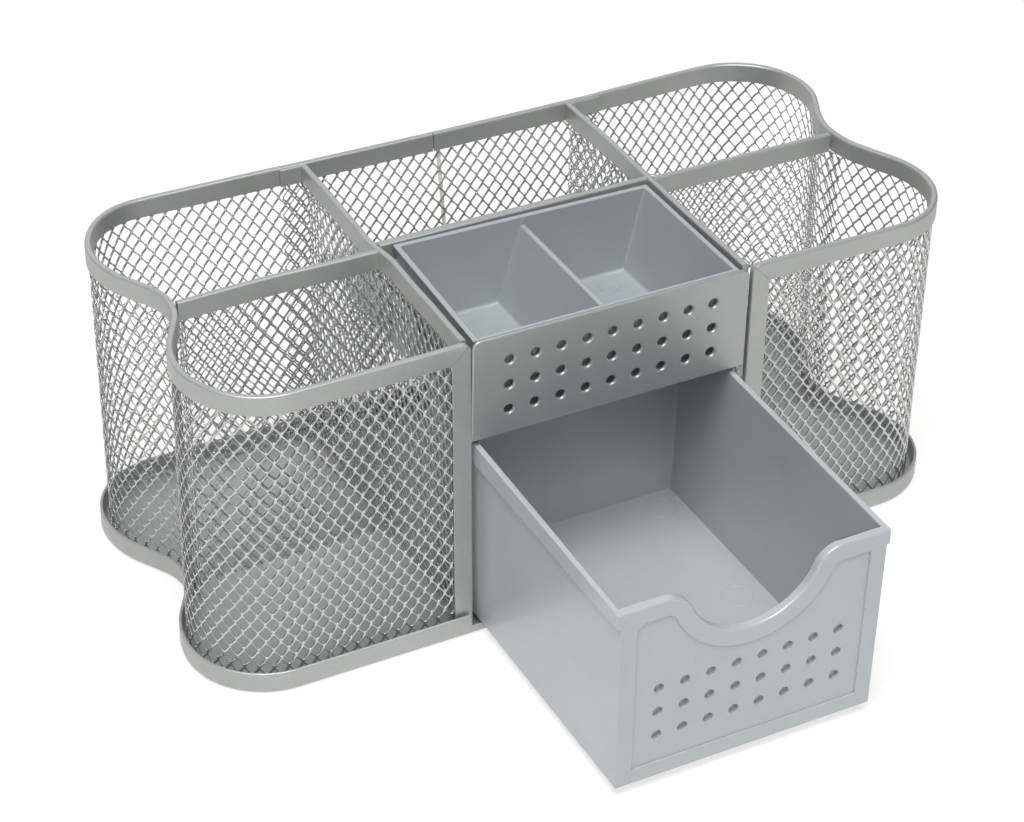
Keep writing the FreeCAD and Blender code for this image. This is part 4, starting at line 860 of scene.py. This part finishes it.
# ------------------------------------------------------- perforated front plate
def plate():
    cx, half, low, high, front, thick, rr = 0.45, 43.95, 67.3, 100.0, -56.0, 1.0, 2.5
    pitch, row, first, rad = 8.1, 8.2, 91.6, 1.4
    per = 6
    bm = bmesh.new()
    V = {}

    def vert(x, y, z):
        k = (round(x, 4), round(y, 4), round(z, 4))
        if k not in V:
            V[k] = bm.verts.new((x * MM, y * MM, z * MM))
        return V[k]

    def face(vs):
        u = []
        for v in vs:
            if v not in u:
                u.append(v)
        if len(u) > 2 and bm.faces.get(u) is None:
            bm.faces.new(u)

    def skin(y, sign, rings):
        """One side of the sheet: cells with a hole each, inside a border."""
        for c in range(9):
            for k in range(3):
                x0, z0 = (c - 4) * pitch + 0.32, first - k * row
                box = []
                for a, b in (((-1, -1), (1, -1)), ((1, -1), (1, 1)), ((1, 1), (-1, 1)), ((-1, 1), (-1, -1))):
                    for t in range(per):
                        f = t / per
                        box.append((x0 + pitch / 2 * (a[0] + (b[0] - a[0]) * f), z0 + row / 2 * (a[1] + (b[1] - a[1]) * f)))
                n = len(box)
                loops = [[vert(p[0], y, p[1]) for p in box]]
                for r, dy in rings:
                    lp = []
                    for i in range(n):
                        th = -3 * math.pi / 4 + 2 * math.pi * i / n
                        lp.append(vert(x0 + r * math.cos(th), y + dy * sign, z0 + r * math.sin(th)))
                    loops.append(lp)
                for A, B in zip(loops[:-1], loops[1:]):
                    for i in range(n):
                        j = (i + 1) % n
                        face([A[i], A[j], B[j], B[i]])

    def border(inset):
        w, lo, hi, r = half - inset, low + inset, high - inset, rr - inset
        pts = [(cx - w, lo), (cx + w, lo)]
        for t in range(9):
            a = math.pi / 2 * t / 8
            pts.append((cx + w - r + r * math.cos(a), hi - r + r * math.sin(a)))
        for t in range(9):
            a = math.pi / 2 + math.pi / 2 * t / 8
            pts.append((cx - w + r + r * math.cos(a), hi - r + r * math.sin(a)))
        return pts

    def block():
        x0, x1 = -4.5 * pitch + 0.32, 4.5 * pitch + 0.32
        z0, z1 = first - 2 * row - row / 2, first + row / 2
        nx, nz = 9 * per, 3 * per
        pts = [(x0 + (x1 - x0) * i / nx, z0) for i in range(nx)]
        pts += [(x1, z0 + (z1 - z0) * i / nz) for i in range(nz)]
        pts += [(x1 - (x1 - x0) * i / nx, z1) for i in range(nx)]
        pts += [(x0, z1 - (z1 - z0) * i / nz) for i in range(nz)]
        return pts

    skin(front, -1, [(2.25, 0.0), (1.86, 0.0), (1.78, -0.03), (1.67, -0.12), (1.55, -0.26), (1.46, -0.42), (rad, -0.6)])
    skin(front + thick, 1, [(2.25, 0.0), (1.6, 0.0), (rad, -0.1), (rad, -0.4)])
    edge = 0.55
    rings = []
    for t in range(6):
        a = math.pi / 2 * t / 5
        rings.append((edge * (1 - math.sin(a)), front + edge * (1 - math.cos(a))))
    rings += [(0.0, front + thick - 0.2), (0.2, front + thick)]
    loops = [[vert(x, y, z) for x, z in border(i)] for i, y in rings]
    for A, B in zip(loops[:-1], loops[1:]):
        n = len(A)
        for i in range(n):
            j = (i + 1) % n
            face([A[i], A[j], B[j], B[i]])
    for y, lp in ((front, loops[0]), (front + thick, loops[-1])):
        inner = [vert(x, y, z) for x, z in block()]
        edges = []
        for seq in (lp, inner):
            for i in range(len(seq)):
                p, q = seq[i], seq[(i + 1) % len(seq)]
                e = bm.edges.get((p, q)) or bm.edges.new((p, q))
                edges.append(e)
        bmesh.ops.triangle_fill(bm, edges=edges, use_beauty=True, use_dissolve=False)
    # ears folded back along the bay sides
    for sg in (1, -1):
        x0, x1 = sorted((cx + sg * (half - 0.8), cx + sg * half))
        made = bmesh.ops.create_cube(bm, size=1.0)["verts"]
        for v in made:
            v.co = Vector(((x0 + x1) / 2 + v.co.x * (x1 - x0), -52.8 + v.co.y * 4.8, 78.5 + v.co.z * 19.0)) * MM
    bmesh.ops.recalc_face_normals(bm, faces=bm.faces)
    me = bpy.data.meshes.new("front_plate_pressing")
    bm.to_mesh(me)
    bm.free()
    ob = finish_mesh("front_plate_pressing", me, M_PLATE, "organizer", True, ("front_plate",))
    crease(ob, 50)


plate()
for node, mat in (("bay_shelf", M_PAN), ("rear_seam_strip", M_STRIP)):
    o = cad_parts[node]
    o.data.materials.clear()
    o.data.materials.append(mat)

# ------------------------------------------------------- floor, light, camera
bpy.ops.mesh.primitive_plane_add(size=12.0, location=(0, 0, -0.0002))
floor = bpy.context.object
floor.name = "floor"
mat, nt, bsdf, vec = nodes_of("floor_paper")
col = ramp(nt, noise(nt, vec, 3.0, 3.0), [(0.3, (0.36, 0.36, 0.36)), (0.7, (0.375, 0.375, 0.375))])
nt.links.new(col, bsdf.inputs["Base Color"])
bsdf.inputs["Roughness"].default_value = 0.9
bsdf.inputs["Specular IOR Level"].default_value = 0.2
bsdf.inputs["Emission Color"].default_value = (1.0, 0.99, 0.975, 1.0)
bsdf.inputs["Emission Strength"].default_value = 0.64
floor.data.materials.append(mat)

world = bpy.data.worlds.new("studio")
scene.world = world
world.use_nodes = True
bg = world.node_tree.nodes.get("Background") or world.node_tree.nodes.new("ShaderNodeBackground")
bg.inputs["Color"].default_value = (1.0, 1.0, 1.0, 1.0)
bg.inputs["Strength"].default_value = 0.14


def area(name, loc, target, size, power, color=(1, 1, 1)):
    li = bpy.data.lights.new(name, "AREA")
    li.shape = "RECTANGLE"
    li.size, li.size_y = size
    li.energy = power
    li.color = color
    o = bpy.data.objects.new(name, li)
    scene.collection.objects.link(o)
    o.location = loc
    o.rotation_euler = (Vector(target) - Vector(loc)).to_track_quat("-Z", "Y").to_euler()
    return o


area("overhead", (-0.26, -0.46, 1.27), (0, -0.04, 0.05), (1.0, 0.9), 24.0, (0.96, 0.988, 1.0))
area("front", (-0.58, -0.86, 0.66), (-0.02, -0.05, 0.05), (0.6, 0.5), 0.6, (1.0, 0.98, 0.955))
area("back", (0.1, 1.35, 0.95), (0, 0.0, 0.05), (2.4, 1.1), 7.0, (0.985, 0.993, 1.0))

cam_data = bpy.data.cameras.new("camera")
cam = bpy.data.objects.new("camera", cam_data)
scene.collection.objects.link(cam)
cam_data.sensor_width = 36.0
cam_data.sensor_fit = "HORIZONTAL"
cam_data.lens = 98.75
cam_data.clip_start = 0.05
cam_data.clip_end = 30.0
az, el, roll = math.radians(-27.9895), math.radians(34.6231), math.radians(1.0437)
back = Vector((math.sin(az) * math.cos(el), -math.cos(az) * math.cos(el), math.sin(el)))
right = Vector((math.cos(az), math.sin(az), 0.0))
up = back.cross(right)
r2 = right * math.cos(roll) + up * math.sin(roll)
u2 = -right * math.sin(roll) + up * math.cos(roll)
cam.matrix_world = Matrix(((r2.x, u2.x, back.x, -0.332227), (r2.y, u2.y, back.y, -0.622441),
                           (r2.z, u2.z, back.z, 0.517135), (0, 0, 0, 1)))
scene.camera = cam
scene.view_settings.view_transform = "Standard"
scene.view_settings.look = "None"
